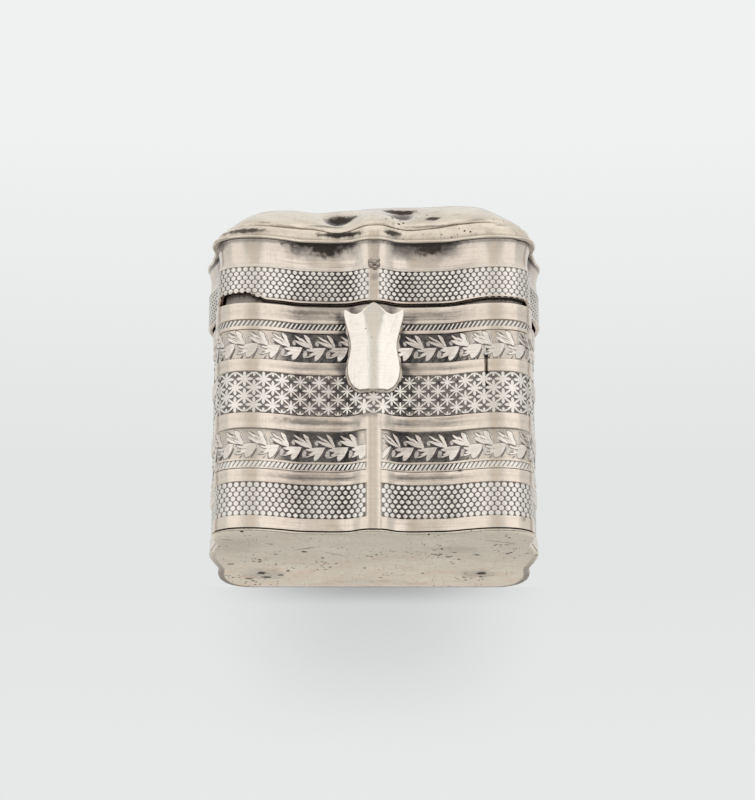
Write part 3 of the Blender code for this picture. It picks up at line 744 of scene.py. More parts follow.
def waver(points, amount=WAVER, scale=WAVER_SCALE):
    """A slow unevenness for each point."""
    return np.array([noise.noise(Vector(point) * scale) for point in points]) * amount


print("one swell of the unevenness in millimetres:", round(1 / WAVER_SCALE / MM, 1))

# %% [markdown]
# Two accidents make the strip this strip: the smooth ridge in front and a split in the metal beside the
# right bow. Round the thumb shield the wall is darkened with painted shadow. The split is a real groove with
# a crooked course. Every one of them is a change to the rings before they are joined, so the wall stays one
# closed sheet.

# %% The wall of the case
RIDGE_STRIP = (0.60 * MM, 0.85 * MM)
RIDGE_OUT_SHARE = 0.6
SPLIT_X = 10.9 * MM
SPLIT_HEIGHTS = (14.2 * MM, 18.5 * MM)
SPLIT_DEPTH = 0.22 * MM
SPLIT_WANDER = 0.2 * MM
SPLIT_WANDER_SCALE = 1900
RIDGE_CROWN = 0.06 * MM
RIDGE_SKEW = -0.3 * MM
FOOT_FILM = 0.4
RUB_FROM_TO = (0.5, 0.95)
PROUD_SHARE = 0.25
RUBBED_SHARE = 0.92
KEPT_RELIEF = 0.15
KEPT_SHADE = 0.2
# Sizes of the painted shadow that darkens the wall round the thumb shield
SHIELD_SHADOW_MIDDLE = (0.0, 18.0 * MM)
SHIELD_SHADOW_SIZE = (3.9 * MM, 6.2 * MM)
SHIELD_SHADOW_WAVER = 0.35
SHIELD_SHADOW_WAVER_SCALE = 1100
SHIELD_SHADOW_FROM_TO = (0.82, 1.12)
SHIELD_SHADOW_DARK = 0.75


def wall_rings():
    """The wall's rings, and the tone and hollow of each of their points."""
    normal = outward(body_plan)
    front = body_plan[:, 1] < 0
    beside = np.where(front, ramp(np.abs(body_plan[:, 0]), *RIDGE_STRIP), 1.0)
    ridge_top = levels["middle moulding"][1]
    rings, tones, hollows = [], [], []
    for k, (z, out, tone) in enumerate(section):
        outs = np.full(len(body_plan), out)
        bare = beside if z <= ridge_top else 1
        film = FOOT_FILM if z < levels["foot"][1] else 1
        hollows.append(body_hollow * bare * film)
        shades = np.full(len(body_plan), float(tone))
        spots = np.column_stack((body_plan, np.full(len(body_plan), z)))
        if k < outer_count:
            if out == GROUND:
                shades = shades + (rubbed_tones[z] - shades) * ramp(1 - body_hollow, *RUB_FROM_TO)
            if out > MOULDING_RISE * PROUD_SHARE:
                flat = max(out, MOULDING_RISE * RUBBED_SHARE)
                outs = flat + (outs - flat) * (KEPT_RELIEF + (1 - KEPT_RELIEF) * body_hollow)
                shades = 1 - (1 - shades) * (KEPT_SHADE + (1 - KEPT_SHADE) * body_hollow)
            if z <= ridge_top:
                off = (body_plan[:, 0] - RIDGE_SKEW) / RIDGE_STRIP[1]
                crown = RIDGE_CROWN * np.clip(1 - off**2, 0, 1)
                outs = (MOULDING_RISE * RIDGE_OUT_SHARE + crown) * (1 - beside) + outs * beside
                shades = (1 - beside) + shades * beside
            if SPLIT_HEIGHTS[0] < z < SPLIT_HEIGHTS[1]:
                wander = noise.noise(Vector((0, 0, z)) * SPLIT_WANDER_SCALE) * SPLIT_WANDER
                column = np.argmin(np.abs(body_plan[:, 0] - SPLIT_X - wander) + (~front) * 1.0)
                outs[column] -= SPLIT_DEPTH
                shades[column] = 0
            # Painted shadow: the wall's tone is lowered round the thumb shield, as shade from the shield
            aside = (spots[:, 0] - SHIELD_SHADOW_MIDDLE[0]) / SHIELD_SHADOW_SIZE[0]
            away = np.hypot(aside, (z - SHIELD_SHADOW_MIDDLE[1]) / SHIELD_SHADOW_SIZE[1])
            away = away + waver(spots, SHIELD_SHADOW_WAVER, SHIELD_SHADOW_WAVER_SCALE)
            shield_shadow = (1 - ramp(away, *SHIELD_SHADOW_FROM_TO)) * front
            shades = shades * (1 - SHIELD_SHADOW_DARK * shield_shadow)
        outs += waver(spots)
        rings.append(np.column_stack((body_plan + normal * outs[:, None], spots[:, 2])))
        tones.append(shades)
    return rings, tones, hollows


rings, tones, hollows = wall_rings()
wall = join_rings("case_wall_strip", rings, tones, hollows, case_silver)
settle(wall, "case", "case_silver", "case_wall")

# %% [markdown]
# The ornament was rolled into the strip by an engraved wheel, so each motif repeats at an even step. On the
# real strip the motifs are what was left standing. Here each one is a low pad with slanting sides: closed,
# with a sunken base, and with a tone that runs from dark at its foot to bright on top. A rubbed motif has
# spread until it nearly meets its neighbours, so every pad has a fresh outline and a worn one, and each
# point keeps the step between them.

# %% Pads for the motifs
PAD_SINK = 0.05 * MM
PAD_RISE = 0.13 * MM


def make_motif(name, pads, smooth=False):
    """A motif from pads: a fresh outline, a worn one, and rings of (share, worn share, rise share, tone)."""
    points, faces, tones, centres, spreads = [], [], [], [], []
    for fresh, worn, steps in pads:
        fresh, worn = np.array(fresh), np.array(worn)
        middle, worn_middle = fresh.mean(axis=0), worn.mean(axis=0)
        around = len(fresh)
        start = len(points)
        for k, (share, worn_share, rise, tone) in enumerate(((1.0, 1.0, -PAD_SINK / PAD_RISE, 0.0), *steps)):
            ring = middle + (fresh - middle) * share
            shift = worn_middle + (worn - worn_middle) * worn_share - ring
            points += [(*spot, PAD_RISE * rise) for spot in ring]
            spreads += [(*step, 0) for step in shift]
            tones += [tone] * around
            centres += [(*middle, 0)] * around
            for i in range(around if k else 0):
                low = start + (k - 1) * around
                j = (i + 1) % around
                faces.append((low + i, low + j, low + around + j, low + around + i))
        faces.append(tuple(range(start + around - 1, start - 1, -1)))
        faces.append(tuple(range(len(points) - around, len(points))))
    obj = new_piece(name, points, faces, tones, 0.0, case_silver, smooth)
    for label, vectors in (("centre", centres), ("spread", spreads)):
        mark = obj.data.attributes.new(label, "FLOAT_VECTOR", "POINT")
        mark.data.foreach_set("vector", np.array(vectors, np.float32).ravel())
    return obj


print("a pad stands out by", round((PAD_RISE + GROUND) / MM, 2), "mm")

# %% [markdown]
# A Geometry Nodes tree lays the pads out, because they follow a path. It makes a grid of points whose X is
# a distance along the outline and whose Y is a height, and sets a motif on each. Then it reads the
# outline's curve at each point's X, moves the point there, and lifts it outwards by its Z.

# %% The tree that wraps a pattern round the box
WRAP_INPUTS = (
    ("Geometry", "Geometry"), ("Motif", "Object"), ("Path", "Object"), ("Columns", "Int"), ("Rows", "Int"),
    ("Pitch", "Float"), ("Row Pitch", "Float"), ("Foot", "Float"), ("Start", "Float"), ("Stagger", "Float"),
    ("Ground", "Float"), ("Bare Half", "Float"), ("Edge", "Float"), ("Worn Relief", "Float"),
    ("Material", "Material"),
)
WRAP_OUTPUTS = (("Geometry", "Geometry"),)
wrap_tree, given, result = group("wrap round the wall", "GeometryNodeTree", WRAP_INPUTS, WRAP_OUTPUTS)


def read_mark(label, kind="FLOAT"):
    """Read a named attribute inside the tree."""
    made = add(wrap_tree, "GeometryNodeInputNamedAttribute", {"Name": label}, data_type=kind)
    return made.outputs["Attribute"]


def store_mark(geometry, label, value, kind="FLOAT"):
    """Store a named attribute on the points."""
    inputs = {"Geometry": geometry, "Name": label, "Value": value}
    made = add(wrap_tree, "GeometryNodeStoreNamedAttribute", inputs, data_type=kind, domain="POINT")
    return made.outputs["Geometry"]


def vector_calc(operation, inputs):
    """One step of arithmetic on vectors."""
    return add(wrap_tree, "ShaderNodeVectorMath", inputs, operation=operation).outputs[0]


def split_xyz(vector):
    """The three numbers of a vector."""
    return add(wrap_tree, "ShaderNodeSeparateXYZ", {0: vector}).outputs


def whole_object(source):
    """The geometry of an object that the modifier names."""
    return add(wrap_tree, "GeometryNodeObjectInfo", {"Object": source}).outputs["Geometry"]


curve = add(wrap_tree, "GeometryNodeMeshToCurve", {"Mesh": whole_object(given["Path"])}).outputs[0]
length = add(wrap_tree, "GeometryNodeCurveLength", {"Curve": curve}).outputs[0]


def along_path(distance, label="hollow"):
    """Read a mark of the path, its place and its direction at a distance along it."""
    inputs = {"Curves": curve, "Value": read_mark(label), "Length": distance}
    made = add(wrap_tree, "GeometryNodeSampleCurve", inputs, mode="LENGTH", data_type="FLOAT")
    return made.outputs["Value"], made.outputs["Position"], made.outputs["Tangent"]

# %% [markdown]
# The first half of the tree works on a flat pattern. Every other row is set aside by the stagger, and every
# pad remembers where it stands and how rubbed the wall is there.

# %% Lay the pads out
number = add(wrap_tree, "GeometryNodeInputIndex").outputs[0]
row = calc(wrap_tree, "DIVIDE", calc(wrap_tree, "ADD", number, 0.5), given["Columns"])
row = calc(wrap_tree, "FLOOR", row)
column = calc(wrap_tree, "SUBTRACT", number, calc(wrap_tree, "MULTIPLY", row, given["Columns"]))
shifted = calc(wrap_tree, "MULTIPLY_ADD", calc(wrap_tree, "MODULO", row, 2.0), given["Stagger"], column)
shifted = calc(wrap_tree, "ADD", shifted, given["Start"])
across = calc(wrap_tree, "MULTIPLY", shifted, given["Pitch"])
height = calc(wrap_tree, "MULTIPLY_ADD", row, given["Row Pitch"], given["Foot"])
stand = add(wrap_tree, "ShaderNodeCombineXYZ", {0: across, 1: height}).outputs[0]
total = calc(wrap_tree, "MULTIPLY", given["Columns"], given["Rows"])
points = add(wrap_tree, "GeometryNodePoints", {"Count": total, "Position": stand}).outputs[0]
points = store_mark(points, "stand", add(wrap_tree, "GeometryNodeInputPosition").outputs[0], "FLOAT_VECTOR")
stood = split_xyz(read_mark("stand", "FLOAT_VECTOR"))
points = store_mark(points, "rubbing", calc(wrap_tree, "SUBTRACT", 1.0, along_path(stood[0])[0]))
stood_on = {"Points": points, "Instance": whole_object(given["Motif"])}
pads = add(wrap_tree, "GeometryNodeInstanceOnPoints", stood_on).outputs[0]
pads = add(wrap_tree, "GeometryNodeRealizeInstances", {"Geometry": pads}).outputs[0]
print("nodes so far:", len(wrap_tree.nodes))

# %% [markdown]
# The second half leaves out the pads on the bare ridge and below the broken edge. It reads each pad's own
# middle, so a pad goes or stays as a whole. Then it moves every corner to its place. A rubbed pad spreads
# and sinks, as soft metal does.

# %% Bend the pads round the wall
centred = {0: read_mark("stand", "FLOAT_VECTOR"), 1: read_mark("centre", "FLOAT_VECTOR")}
middle = split_xyz(vector_calc("ADD", centred))
to_end = calc(wrap_tree, "ABSOLUTE", calc(wrap_tree, "SUBTRACT", length, middle[0]))
from_start = calc(wrap_tree, "MINIMUM", calc(wrap_tree, "ABSOLUTE", middle[0]), to_end)
bare = calc(wrap_tree, "LESS_THAN", from_start, given["Bare Half"])
broken_edge = calc(wrap_tree, "ADD", given["Edge"], along_path(middle[0], "broken")[0])
left_out = calc(wrap_tree, "MAXIMUM", bare, calc(wrap_tree, "LESS_THAN", middle[1], broken_edge))
left_out = calc(wrap_tree, "GREATER_THAN", left_out, 0.5)
pads = add(wrap_tree, "GeometryNodeDeleteGeometry", {"Geometry": pads, "Selection": left_out}).outputs[0]

spread = vector_calc("SCALE", {0: read_mark("spread", "FLOAT_VECTOR"), "Scale": read_mark("rubbing")})
flat = split_xyz(vector_calc("ADD", {0: add(wrap_tree, "GeometryNodeInputPosition").outputs[0], 1: spread}))
wrapped = calc(wrap_tree, "FLOORED_MODULO", flat[0], length)
hollow, spot, tangent = along_path(wrapped)
pads = store_mark(pads, "hollow", hollow)
lost = calc(wrap_tree, "SUBTRACT", 1.0, given["Worn Relief"])
relief = calc(wrap_tree, "MULTIPLY_ADD", lost, hollow, given["Worn Relief"])
lift = calc(wrap_tree, "MULTIPLY_ADD", flat[2], relief, given["Ground"])
out = vector_calc("NORMALIZE", {0: vector_calc("CROSS_PRODUCT", {0: tangent, 1: (0, 0, 1)})})
raised = add(wrap_tree, "ShaderNodeCombineXYZ", {2: flat[1]}).outputs[0]
target = vector_calc("ADD", {0: spot, 1: vector_calc("SCALE", {0: out, "Scale": lift})})
target = vector_calc("ADD", {0: target, 1: raised})
pads = add(wrap_tree, "GeometryNodeSetPosition", {"Geometry": pads, "Position": target}).outputs[0]
pads = add(wrap_tree, "GeometryNodeSetMaterial", {"Geometry": pads, "Material": given["Material"]}).outputs[0]
wrap_tree.links.new(pads, result["Geometry"])
print("nodes in the wrapping tree:", len(wrap_tree.nodes))

# %% [markdown]
# Each pattern is a modifier on an empty mesh. Its inputs are set by their names, its result is kept as a
# plain mesh, and the modifier is removed, so nothing is left to be worked out later. The tree reads the
# outline from a chain of edges.

# %% Run the tree
WORN_RELIEF = 0.45


def path_object(name, outline, hollow, broken):
    """The outline as a chain of edges that ends where it starts. It carries its hollow and its break."""
    chain = np.vstack((outline, outline[:1]))
    points = np.column_stack((chain, np.zeros(len(chain))))
    obj = new_piece(name, points, [], 0.0, np.append(hollow, hollow[0]), case_silver, smooth=False)
    mark = obj.data.attributes.new("broken", "FLOAT", "POINT")
    mark.data.foreach_set("value", np.append(broken, broken[0]).astype(np.float32))
    obj.data.edges.add(len(chain) - 1)
    ends = np.column_stack((np.arange(len(chain) - 1), np.arange(1, len(chain))))
    obj.data.edges.foreach_set("vertices", ends.ravel())
    return obj


def wrap(name, motif, path, body, slot, step, **sizes):
    """Lay a motif round a path and keep the result as a plain mesh."""
    obj = bpy.data.objects.new(name, bpy.data.meshes.new(name))
    scene.collection.objects.link(obj)
    modifier = obj.modifiers.new("wrap", "NODES")
    modifier.node_group = wrap_tree
    columns = round(path_lengths[path.name] / step)
    given = {"Motif": motif, "Path": path, "Columns": columns, "Pitch": path_lengths[path.name] / columns}
    given.update({"Rows": 1, "Worn Relief": WORN_RELIEF, "Ground": GROUND, "Bare Half": 0.0})
    given.update(sizes)
    for socket in wrap_tree.interface.items_tree:
        if socket.in_out == "INPUT" and socket.name in given:
            modifier[socket.identifier] = given[socket.name]
    bpy.context.view_layer.update()
    depsgraph = bpy.context.evaluated_depsgraph_get()
    seen = obj.evaluated_get(depsgraph)
    mesh = bpy.data.meshes.new_from_object(seen, preserve_all_data_layers=True, depsgraph=depsgraph)
    for label in ("stand", "rubbing", "centre", "spread"):
        mesh.attributes.remove(mesh.attributes[label])
    obj.modifiers.clear()
    obj.data = mesh
    settle(obj, body, slot)


path_lengths = {"body path": stations(body_plan)[1], "lid path": stations(lid_plan)[1]}
body_path = path_object("body path", body_plan, body_hollow, np.zeros(len(body_plan)))
print("length of the lid's path:", round(path_lengths["lid path"] / MM, 1), "mm")

# %% [markdown]
# The lowest band is a net of scales: seven rows of small bumps, each row half a step aside from the last. A
# bump is an oval, nearly a lozenge when fresh and a disc when worn, so the cuts cross like a net. Ten sides
# are enough for a shape that is a third of a millimetre high and repeated a thousand times.

# %% Scales round the foot
SCALE_PITCH = 0.65 * MM
SCALE_ROWS = 7
SCALE_SIDES = 10
SCALE_FRESH_SHARES = (0.485, 0.62)
SCALE_WORN_SHARES = (0.48, 0.68)
SCALE_ROUNDNESS = (1.55, 2.0)
BUMP_STEPS = ((0.93, 0.95, 0.35, 0.0), (0.76, 0.83, 0.85, 0.75), (0.5, 0.6, 1.0, 1.0))


def oval(half_width, half_height, roundness):
    """Points on an oval that is an ellipse at a roundness of 2 and nearer a lozenge below it."""
    angles = 2 * math.pi * np.arange(SCALE_SIDES) / SCALE_SIDES
    sides = ((half_width, np.cos(angles)), (half_height, np.sin(angles)))
    return np.column_stack([half * np.sign(way) * np.abs(way) ** (2 / roundness) for half, way in sides])


def scale_motif(name, pitch, row_pitch):
    """One scale that nearly fills its cell."""
    shapes = zip((SCALE_FRESH_SHARES, SCALE_WORN_SHARES), SCALE_ROUNDNESS)
    fresh, worn = (oval(pitch * wide, row_pitch * tall, roundness) for (wide, tall), roundness in shapes)
    return make_motif(name, [(fresh, worn, BUMP_STEPS)], smooth=True)


low, high = levels["scales"]
row_pitch = (high - low) / SCALE_ROWS
scale = scale_motif("scale", SCALE_PITCH, row_pitch)
wrap("case_scales", scale, body_path, "case", "case_silver", SCALE_PITCH, **{
    "Rows": SCALE_ROWS, "Row Pitch": row_pitch, "Foot": low + row_pitch / 2, "Stagger": 0.5,
    "Bare Half": RIDGE_STRIP[1], "Material": ornament_silver,
})

# %% [markdown]
# Two bands carry a running spray of leaves. Each step has an upper and a lower spray of three leaflets that
# fan out of one root, and a small bud at the far end of each. A leaflet is a slender blade that may bend to
# one side. Dark slits lie between them, because a cloth never reached the tarnish in those pockets.

# %% Sprays of leaves
LEAF_STEP = 2.26 * MM
LEAF_START_SHARE = 0.24
LEAF_BARE = RIDGE_STRIP[1] + 0.1 * MM
UPPER_ROOT = (0.0, 1.38 * MM)
LOWER_ROOT = (-0.99 * MM, 1.50 * MM)

# Each leaflet gives its reach across and up, its width fresh and worn, and its bend, all in millimetres
UPPER_LEAVES = (
    (-0.82, 1.44, 0.36, 0.58, 0.12), (-1.74, 1.30, 0.27, 0.46, 0.05), (-1.80, 0.80, 0.28, 0.48, 0.0),
)
LOWER_LEAVES = (
    (-1.90, -0.26, 0.33, 0.58, -0.08), (-1.88, -1.04, 0.31, 0.54, 0.0), (-0.98, -1.36, 0.52, 0.84, 0.1),
)
BUD_STEPS = ((0.95, 0.95, 0.3, 0.35), (0.7, 0.8, 0.4, 0.65))

# Each bud gives its middle from the upper root, its half sizes and its lean
BUDS = ((-1.80, 0.52, 0.20, 0.26, -0.2), (-2.98, -0.56, 0.24, 0.44, 0.15))

# Each pocket of tarnish gives its two ends from the upper root, and its width
SLITS = (
    (-1.00, 0.12, -1.62, 0.42, 0.13), (-0.02, -0.08, -0.84, 0.12, 0.18),
    (-0.90, -0.32, -1.46, -1.30, 0.16), (-2.42, -0.68, -2.80, -0.74, 0.11),
    (0.02, 0.32, -0.30, 1.14, 0.09), (-1.02, 0.96, -1.62, 1.36, 0.10), (-0.62, 0.52, -1.24, 0.82, 0.08),
    (-2.30, -1.00, -2.62, -1.36, 0.10),
)
SLIT_STEPS = ((1.0, 1.0, 1.0, 0.0), (0.6, 0.6, 1.05, 0.0))
BLADE_SHARES = ((0.0, 0.16), (0.16, 0.55), (0.38, 0.92), (0.62, 1.0), (0.84, 0.74), (0.96, 0.36))
PAD_STEPS = ((1.0, 1.0, 0.5, 0.35), (0.88, 0.93, 1.0, 1.0))
LEAF_STEPS = ((1.14, 1.14, 0.08, 0.0), (0.97, 1.0, 0.75, 0.6), (0.86, 0.93, 1.0, 1.0))
NEXT_LEAF_DROP = 0.05
BUD_SIDES = 8


def leaf(root, reach, width, bend):
    """A leaflet's outline from its root to the tip that lies reach away."""
    root, axis = np.array(root), np.array(reach)
    aside = np.array((-axis[1], axis[0])) / np.linalg.norm(axis)
    spine = [root + axis * along - aside * bend * 4 * along * (1 - along) for along, wide in BLADE_SHARES]
    half = [aside * wide * width / 2 for along, wide in BLADE_SHARES]
    right_side = [spot - wide for spot, wide in zip(spine, half)]
    left_side = [spot + wide for spot, wide in zip(spine, half)]
    return right_side + [root + axis] + left_side[::-1]


def bud(middle, size, lean):
    """A small oval that leans aside with its height."""
    angles = [2 * math.pi * i / BUD_SIDES for i in range(BUD_SIDES)]
    offsets = [(size[0] * math.cos(a) + lean * size[1] * math.sin(a), size[1] * math.sin(a)) for a in angles]
    return [(middle[0] + x, middle[1] + y) for x, y in offsets]


sprays = []
for root, leaflets in ((UPPER_ROOT, UPPER_LEAVES), (LOWER_ROOT, LOWER_LEAVES)):
    for k, (across, rise, fresh, worn, bend) in enumerate(leaflets):
        tip = (across * MM, rise * MM)
        outlines = [leaf(root, tip, width * MM, bend * MM) for width in (fresh, worn)]
        steps = [(share, worn, up * (1 - NEXT_LEAF_DROP * k), tone) for share, worn, up, tone in LEAF_STEPS]
        sprays.append((*outlines, steps))
for from_x, from_y, to_x, to_y, width in SLITS:
    end = (UPPER_ROOT[0] + from_x * MM, UPPER_ROOT[1] + from_y * MM)
    outline = leaf(end, ((to_x - from_x) * MM, (to_y - from_y) * MM), width * MM, 0.0)
    sprays.append((outline, outline, SLIT_STEPS))
for across, rise, half_wide, half_tall, lean in BUDS:
    middle = (UPPER_ROOT[0] + across * MM, UPPER_ROOT[1] + rise * MM)
    outline = bud(middle, (half_wide * MM, half_tall * MM), lean)
    sprays.append((outline, outline, BUD_STEPS))
spray = make_motif("spray", sprays)
for name, label in (("case_leaves_lower", "lower leaves"), ("case_leaves_upper", "upper leaves")):
    wrap(name, spray, body_path, "case", "case_silver", LEAF_STEP, **{
        "Foot": levels[label][0], "Bare Half": LEAF_BARE if label == "lower leaves" else 0.0,
        "Start": LEAF_START_SHARE, "Material": leaf_silver,
    })

# %% [markdown]
# The middle band is sown with stars of eight rays, four rows deep, with a small dark square between
# neighbours. At both edges of the band the pattern is cut off, so only the tips of some rays reach in from
# there.

# %% Stars and squares
STAR_PITCH = 1.86 * MM
STAR_ROWS = 4
STAR_ROW_PITCH = 0.87 * MM
STAR_FIRST_ROW = 0.76 * MM
STAR_FRESH = (0.68 * MM, 0.15 * MM, 0.092 * MM)
STAR_WORN = (0.80 * MM, 0.31 * MM, 0.15 * MM)
TIP_FRESH = (0.52 * MM, 0.15 * MM, 0.085 * MM)
TIP_WORN = (0.60 * MM, 0.25 * MM, 0.13 * MM)
STAR_CUT = 0.15 * MM
DIAGONAL_WIDTH_SHARE = 0.66
RAY_SHARES = ((0.72, 1.2), (1.0, 0.55))
UP_RAYS = slice(4, 20)
DOWN_RAYS = slice(24, 40)
CORNERS = ((-1, -1), (1, -1), (1, 1), (-1, 1))
SQUARE_HALF = 0.22 * MM
SQUARE_WORN_SHARE = 0.8
SQUARE_STEPS = ((0.95, 0.95, 0.12, 0.0), (0.8, 0.8, 0.14, 0.0))


def star_outline(radius, heart, half_width):
    """Eight rays, widest near their ends, round a heart."""
    outline = []
    for i in range(8):
        angle = math.pi * i / 4
        along = np.array((math.cos(angle), math.sin(angle))) * radius
        aside = np.array((-math.sin(angle), math.cos(angle))) * (DIAGONAL_WIDTH_SHARE if i % 2 else 1)
        for way, shares in ((-1, RAY_SHARES), (1, RAY_SHARES[::-1])):
            outline += [along * reach + aside * way * half_width * wide for reach, wide in shares]
        between = angle + math.pi / 8
        outline.append(np.array((math.cos(between), math.sin(between))) * heart)
    return outline


def square_outline(half):
    """The square halfway to the next star."""
    return [(x * half + STAR_PITCH / 2, y * half) for x, y in CORNERS]


star = make_motif("star", [
    (star_outline(*STAR_FRESH), star_outline(*STAR_WORN), PAD_STEPS),
    (square_outline(SQUARE_HALF), square_outline(SQUARE_HALF * SQUARE_WORN_SHARE), SQUARE_STEPS),
])


def cut_star(side, radius, heart, half_width):
    """The part of a star that reaches into the band from below, or from above when side is -1."""
    rays = star_outline(radius, heart, half_width)[DOWN_RAYS if side < 0 else UP_RAYS]
    return [(x, side * max(side * y, STAR_CUT)) for x, y in rays]


tips = [make_motif(name, [(cut_star(side, *TIP_FRESH), cut_star(side, *TIP_WORN), PAD_STEPS)])
        for name, side in (("low star tip", 1), ("high star tip", -1))]
low, high = levels["stars"]
wrap("case_stars", star, body_path, "case", "case_silver", STAR_PITCH, **{
    "Rows": STAR_ROWS, "Row Pitch": STAR_ROW_PITCH, "Foot": low + STAR_FIRST_ROW, "Start": 0.5,
    "Stagger": -0.5, "Material": ornament_silver,
})
edges = (("case_star_tips_low", tips[0], -1, 0.0), ("case_star_tips_high", tips[1], STAR_ROWS, 0.5))
for name, tip, row, start in edges:
    wrap(name, tip, body_path, "case", "case_silver", STAR_PITCH, **{
        "Foot": low + STAR_FIRST_ROW + row * STAR_ROW_PITCH, "Start": start, "Material": ornament_silver,
    })

# %% [markdown]
# Two ropes edge the leaves: short bars that lean to the right. The lower rope has wide bars with thin
# slots, and the upper one has thin bars with wide slots, so one function makes both.

# %% Ropes
ROPE_PITCH = 0.44 * MM
ROPE_LEAN = 0.42 * MM
BAR_WIDTHS = {"lower rope": (0.27 * MM, 0.36 * MM), "upper rope": (0.16 * MM, 0.22 * MM)}
BAR_STEPS = ((1.0, 1.0, 0.5, 0.5), (0.86, 0.9, 0.9, 1.0))


def rope(name, label):
    """A rope of leaning bars in one band."""
    low, high = levels[label + " slots"]
    half = (high - low) / 2
    lean = ROPE_LEAN / 2
    bars = []
    for width in BAR_WIDTHS[label]:
        bars.append([(lean * up + width / 2 * across, half * up) for across, up in CORNERS])
    motif = make_motif(name + " bar", [(*bars, BAR_STEPS)])
    wrap(name, motif, body_path, "case", "case_silver", ROPE_PITCH, **{
        "Foot": (low + high) / 2, "Bare Half": RIDGE_STRIP[1] if label == "lower rope" else 0.0,
        "Material": ornament_silver,
    })


rope("case_rope_lower", "lower rope")
rope("case_rope_upper", "upper rope")

# %% [markdown]
# The plate under the wall was cut from sheet and soldered on, and a century of standing has rounded its
# edge and dented its face. It is built like the wall, as rings, but its rings shrink to a pole above and
# below. A pale yellow film lies over its rear half, and the edge there is darkened with painted shade,
# where the box meets the table.

# %% The plate under the case
PLATE_EDGE = 0.25 * MM
PLATE_EDGE_SHADE = 0.65
PLATE_OVERHANG = 0.2 * MM
PLATE_DENT = 0.12 * MM
DENT_SCALE = 150
FINE_DENT = 0.03 * MM
FINE_DENT_SCALE = 520
DENT_LIFT_SHARE = 0.5
DENT_LIMIT_SHARE = 0.6
DENT_FALL = 6
UNDER_SHARES = np.linspace(0.06, 0.94, 23)
OVER_SHARES = (0.9, 0.5, 0.12)
EDGE_ANGLES = (-75, -50, -25, 0, 22)
PLATE_TONE = 0.75
PLATE_HOLLOW = 0.15
REAR_FROM_TO = (-6 * MM, 7 * MM)

plate_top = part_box("base_plate")[1].z
plate_out = body_plan + outward(body_plan) * PLATE_OVERHANG


def shrunk(outline, share, z):
    """A ring that is the outline drawn in towards the middle."""
    return np.column_stack((outline * share, np.full(len(outline), z)))


half_depth = (BACK_Y - FRONT_Y) / 2
edge_share = PLATE_EDGE / half_depth
shares = list(UNDER_SHARES) + [1 - 2 * edge_share, 1 - 1.5 * edge_share]
under = [shrunk(plate_out, share, 0) for share in shares]
edge = []
for angle in EDGE_ANGLES:
    way, rise = 1 - math.cos(math.radians(angle)), math.sin(math.radians(angle))
    edge.append(shrunk(plate_out, 1 - edge_share * way, plate_top * (0.5 + 0.5 * rise)))
over = [shrunk(plate_out, share, plate_top) for share in (1 - 1.6 * edge_share, *OVER_SHARES)]
for ring in under:
    inside = np.clip(1 - np.abs(ring[:, :2] / (SIDE_BOW, half_depth)) ** DENT_FALL, 0, 1).prod(axis=1)
    dents = waver(ring, PLATE_DENT, DENT_SCALE) + waver(ring, FINE_DENT, FINE_DENT_SCALE)
    dents = dents + PLATE_DENT * DENT_LIFT_SHARE
    ring[:, 2] = np.clip(dents * inside, 0, plate_top * DENT_LIMIT_SHARE)
plate_rings = np.array(under + edge + over)
rear = ramp(plate_rings[:, :, 1], *REAR_FROM_TO)
plate_tones = PLATE_TONE + (1 - PLATE_TONE) * rear
turn = slice(len(under) - 1, len(under) + len(edge))
# Painted shade: the turned edge grows darker towards the rear, where the box meets the table
plate_tones[turn] -= PLATE_EDGE_SHADE * rear[turn]
plate_poles = ((0, 0, 0), (0, 0, plate_top))
hollow = PLATE_HOLLOW + (1 - PLATE_HOLLOW) * rear
plate = join_rings("base_plate_sheet", plate_rings, plate_tones, hollow, plate_silver, plate_poles)
settle(plate, "case", "plate_silver", "base_plate")

# %% [markdown]
# Inside the mouth sits a plain liner, which the lid shuts over. It was never polished, so it is the darkest
# piece.

# %% The liner
LINER_GAP = 0.12 * MM
LINER_THICKNESS = 0.3 * MM
LINER_LEAN = 0.1 * MM
LINER_TONE = 0.75
LINER_HOLLOW = 0.6
liner_low, liner_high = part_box("bezel")
outer = -WALL - LINER_GAP
inner = outer - LINER_THICKNESS
liner_section = [
    (liner_low.z, outer), (mouth, outer), (liner_high.z - ROUNDING, outer - LINER_LEAN),
    (liner_high.z, outer - LINER_LEAN - ROUNDING), (liner_high.z, inner - LINER_LEAN + ROUNDING),
    (liner_high.z - ROUNDING, inner - LINER_LEAN), (mouth, inner), (liner_low.z, inner),
]
normal = outward(body_plan)
rings = [np.column_stack((body_plan + normal * out, np.full(len(body_plan), z))) for z, out in liner_section]
liner = join_rings("bezel_strip", rings, LINER_TONE, LINER_HOLLOW, liner_silver)
settle(liner, "case", "liner_silver", "bezel")

# %% [markdown]
# The lid's strip has a plain edge, a band of scales and a cove that curls out under the flange. Its lower
# edge is broken away at the left of the front, where it once caught on something. The break is cut by
# lifting the lowest part of the rings there, so the sheet stays closed. At the right the edge is bent up a
# little.

# %% The strip of the lid
LID_WALL = 0.4 * MM
LID_EDGE = 0.28 * MM
LID_EDGE_RISE = 0.05 * MM
LID_GROUND_TONE = 0.1
LID_SCALES = 3.05 * MM
COVE_DEPTH = 0.2 * MM
COVE_LINE = ((0.04 * MM, 0.03 * MM, 0.7), (0.12 * MM, 0.02 * MM, 1))
COVE_SHARES = np.linspace(0.12, 1.0, 14)
COVE_STRETCH = 1.05
COVE_FULLNESS = 0.9
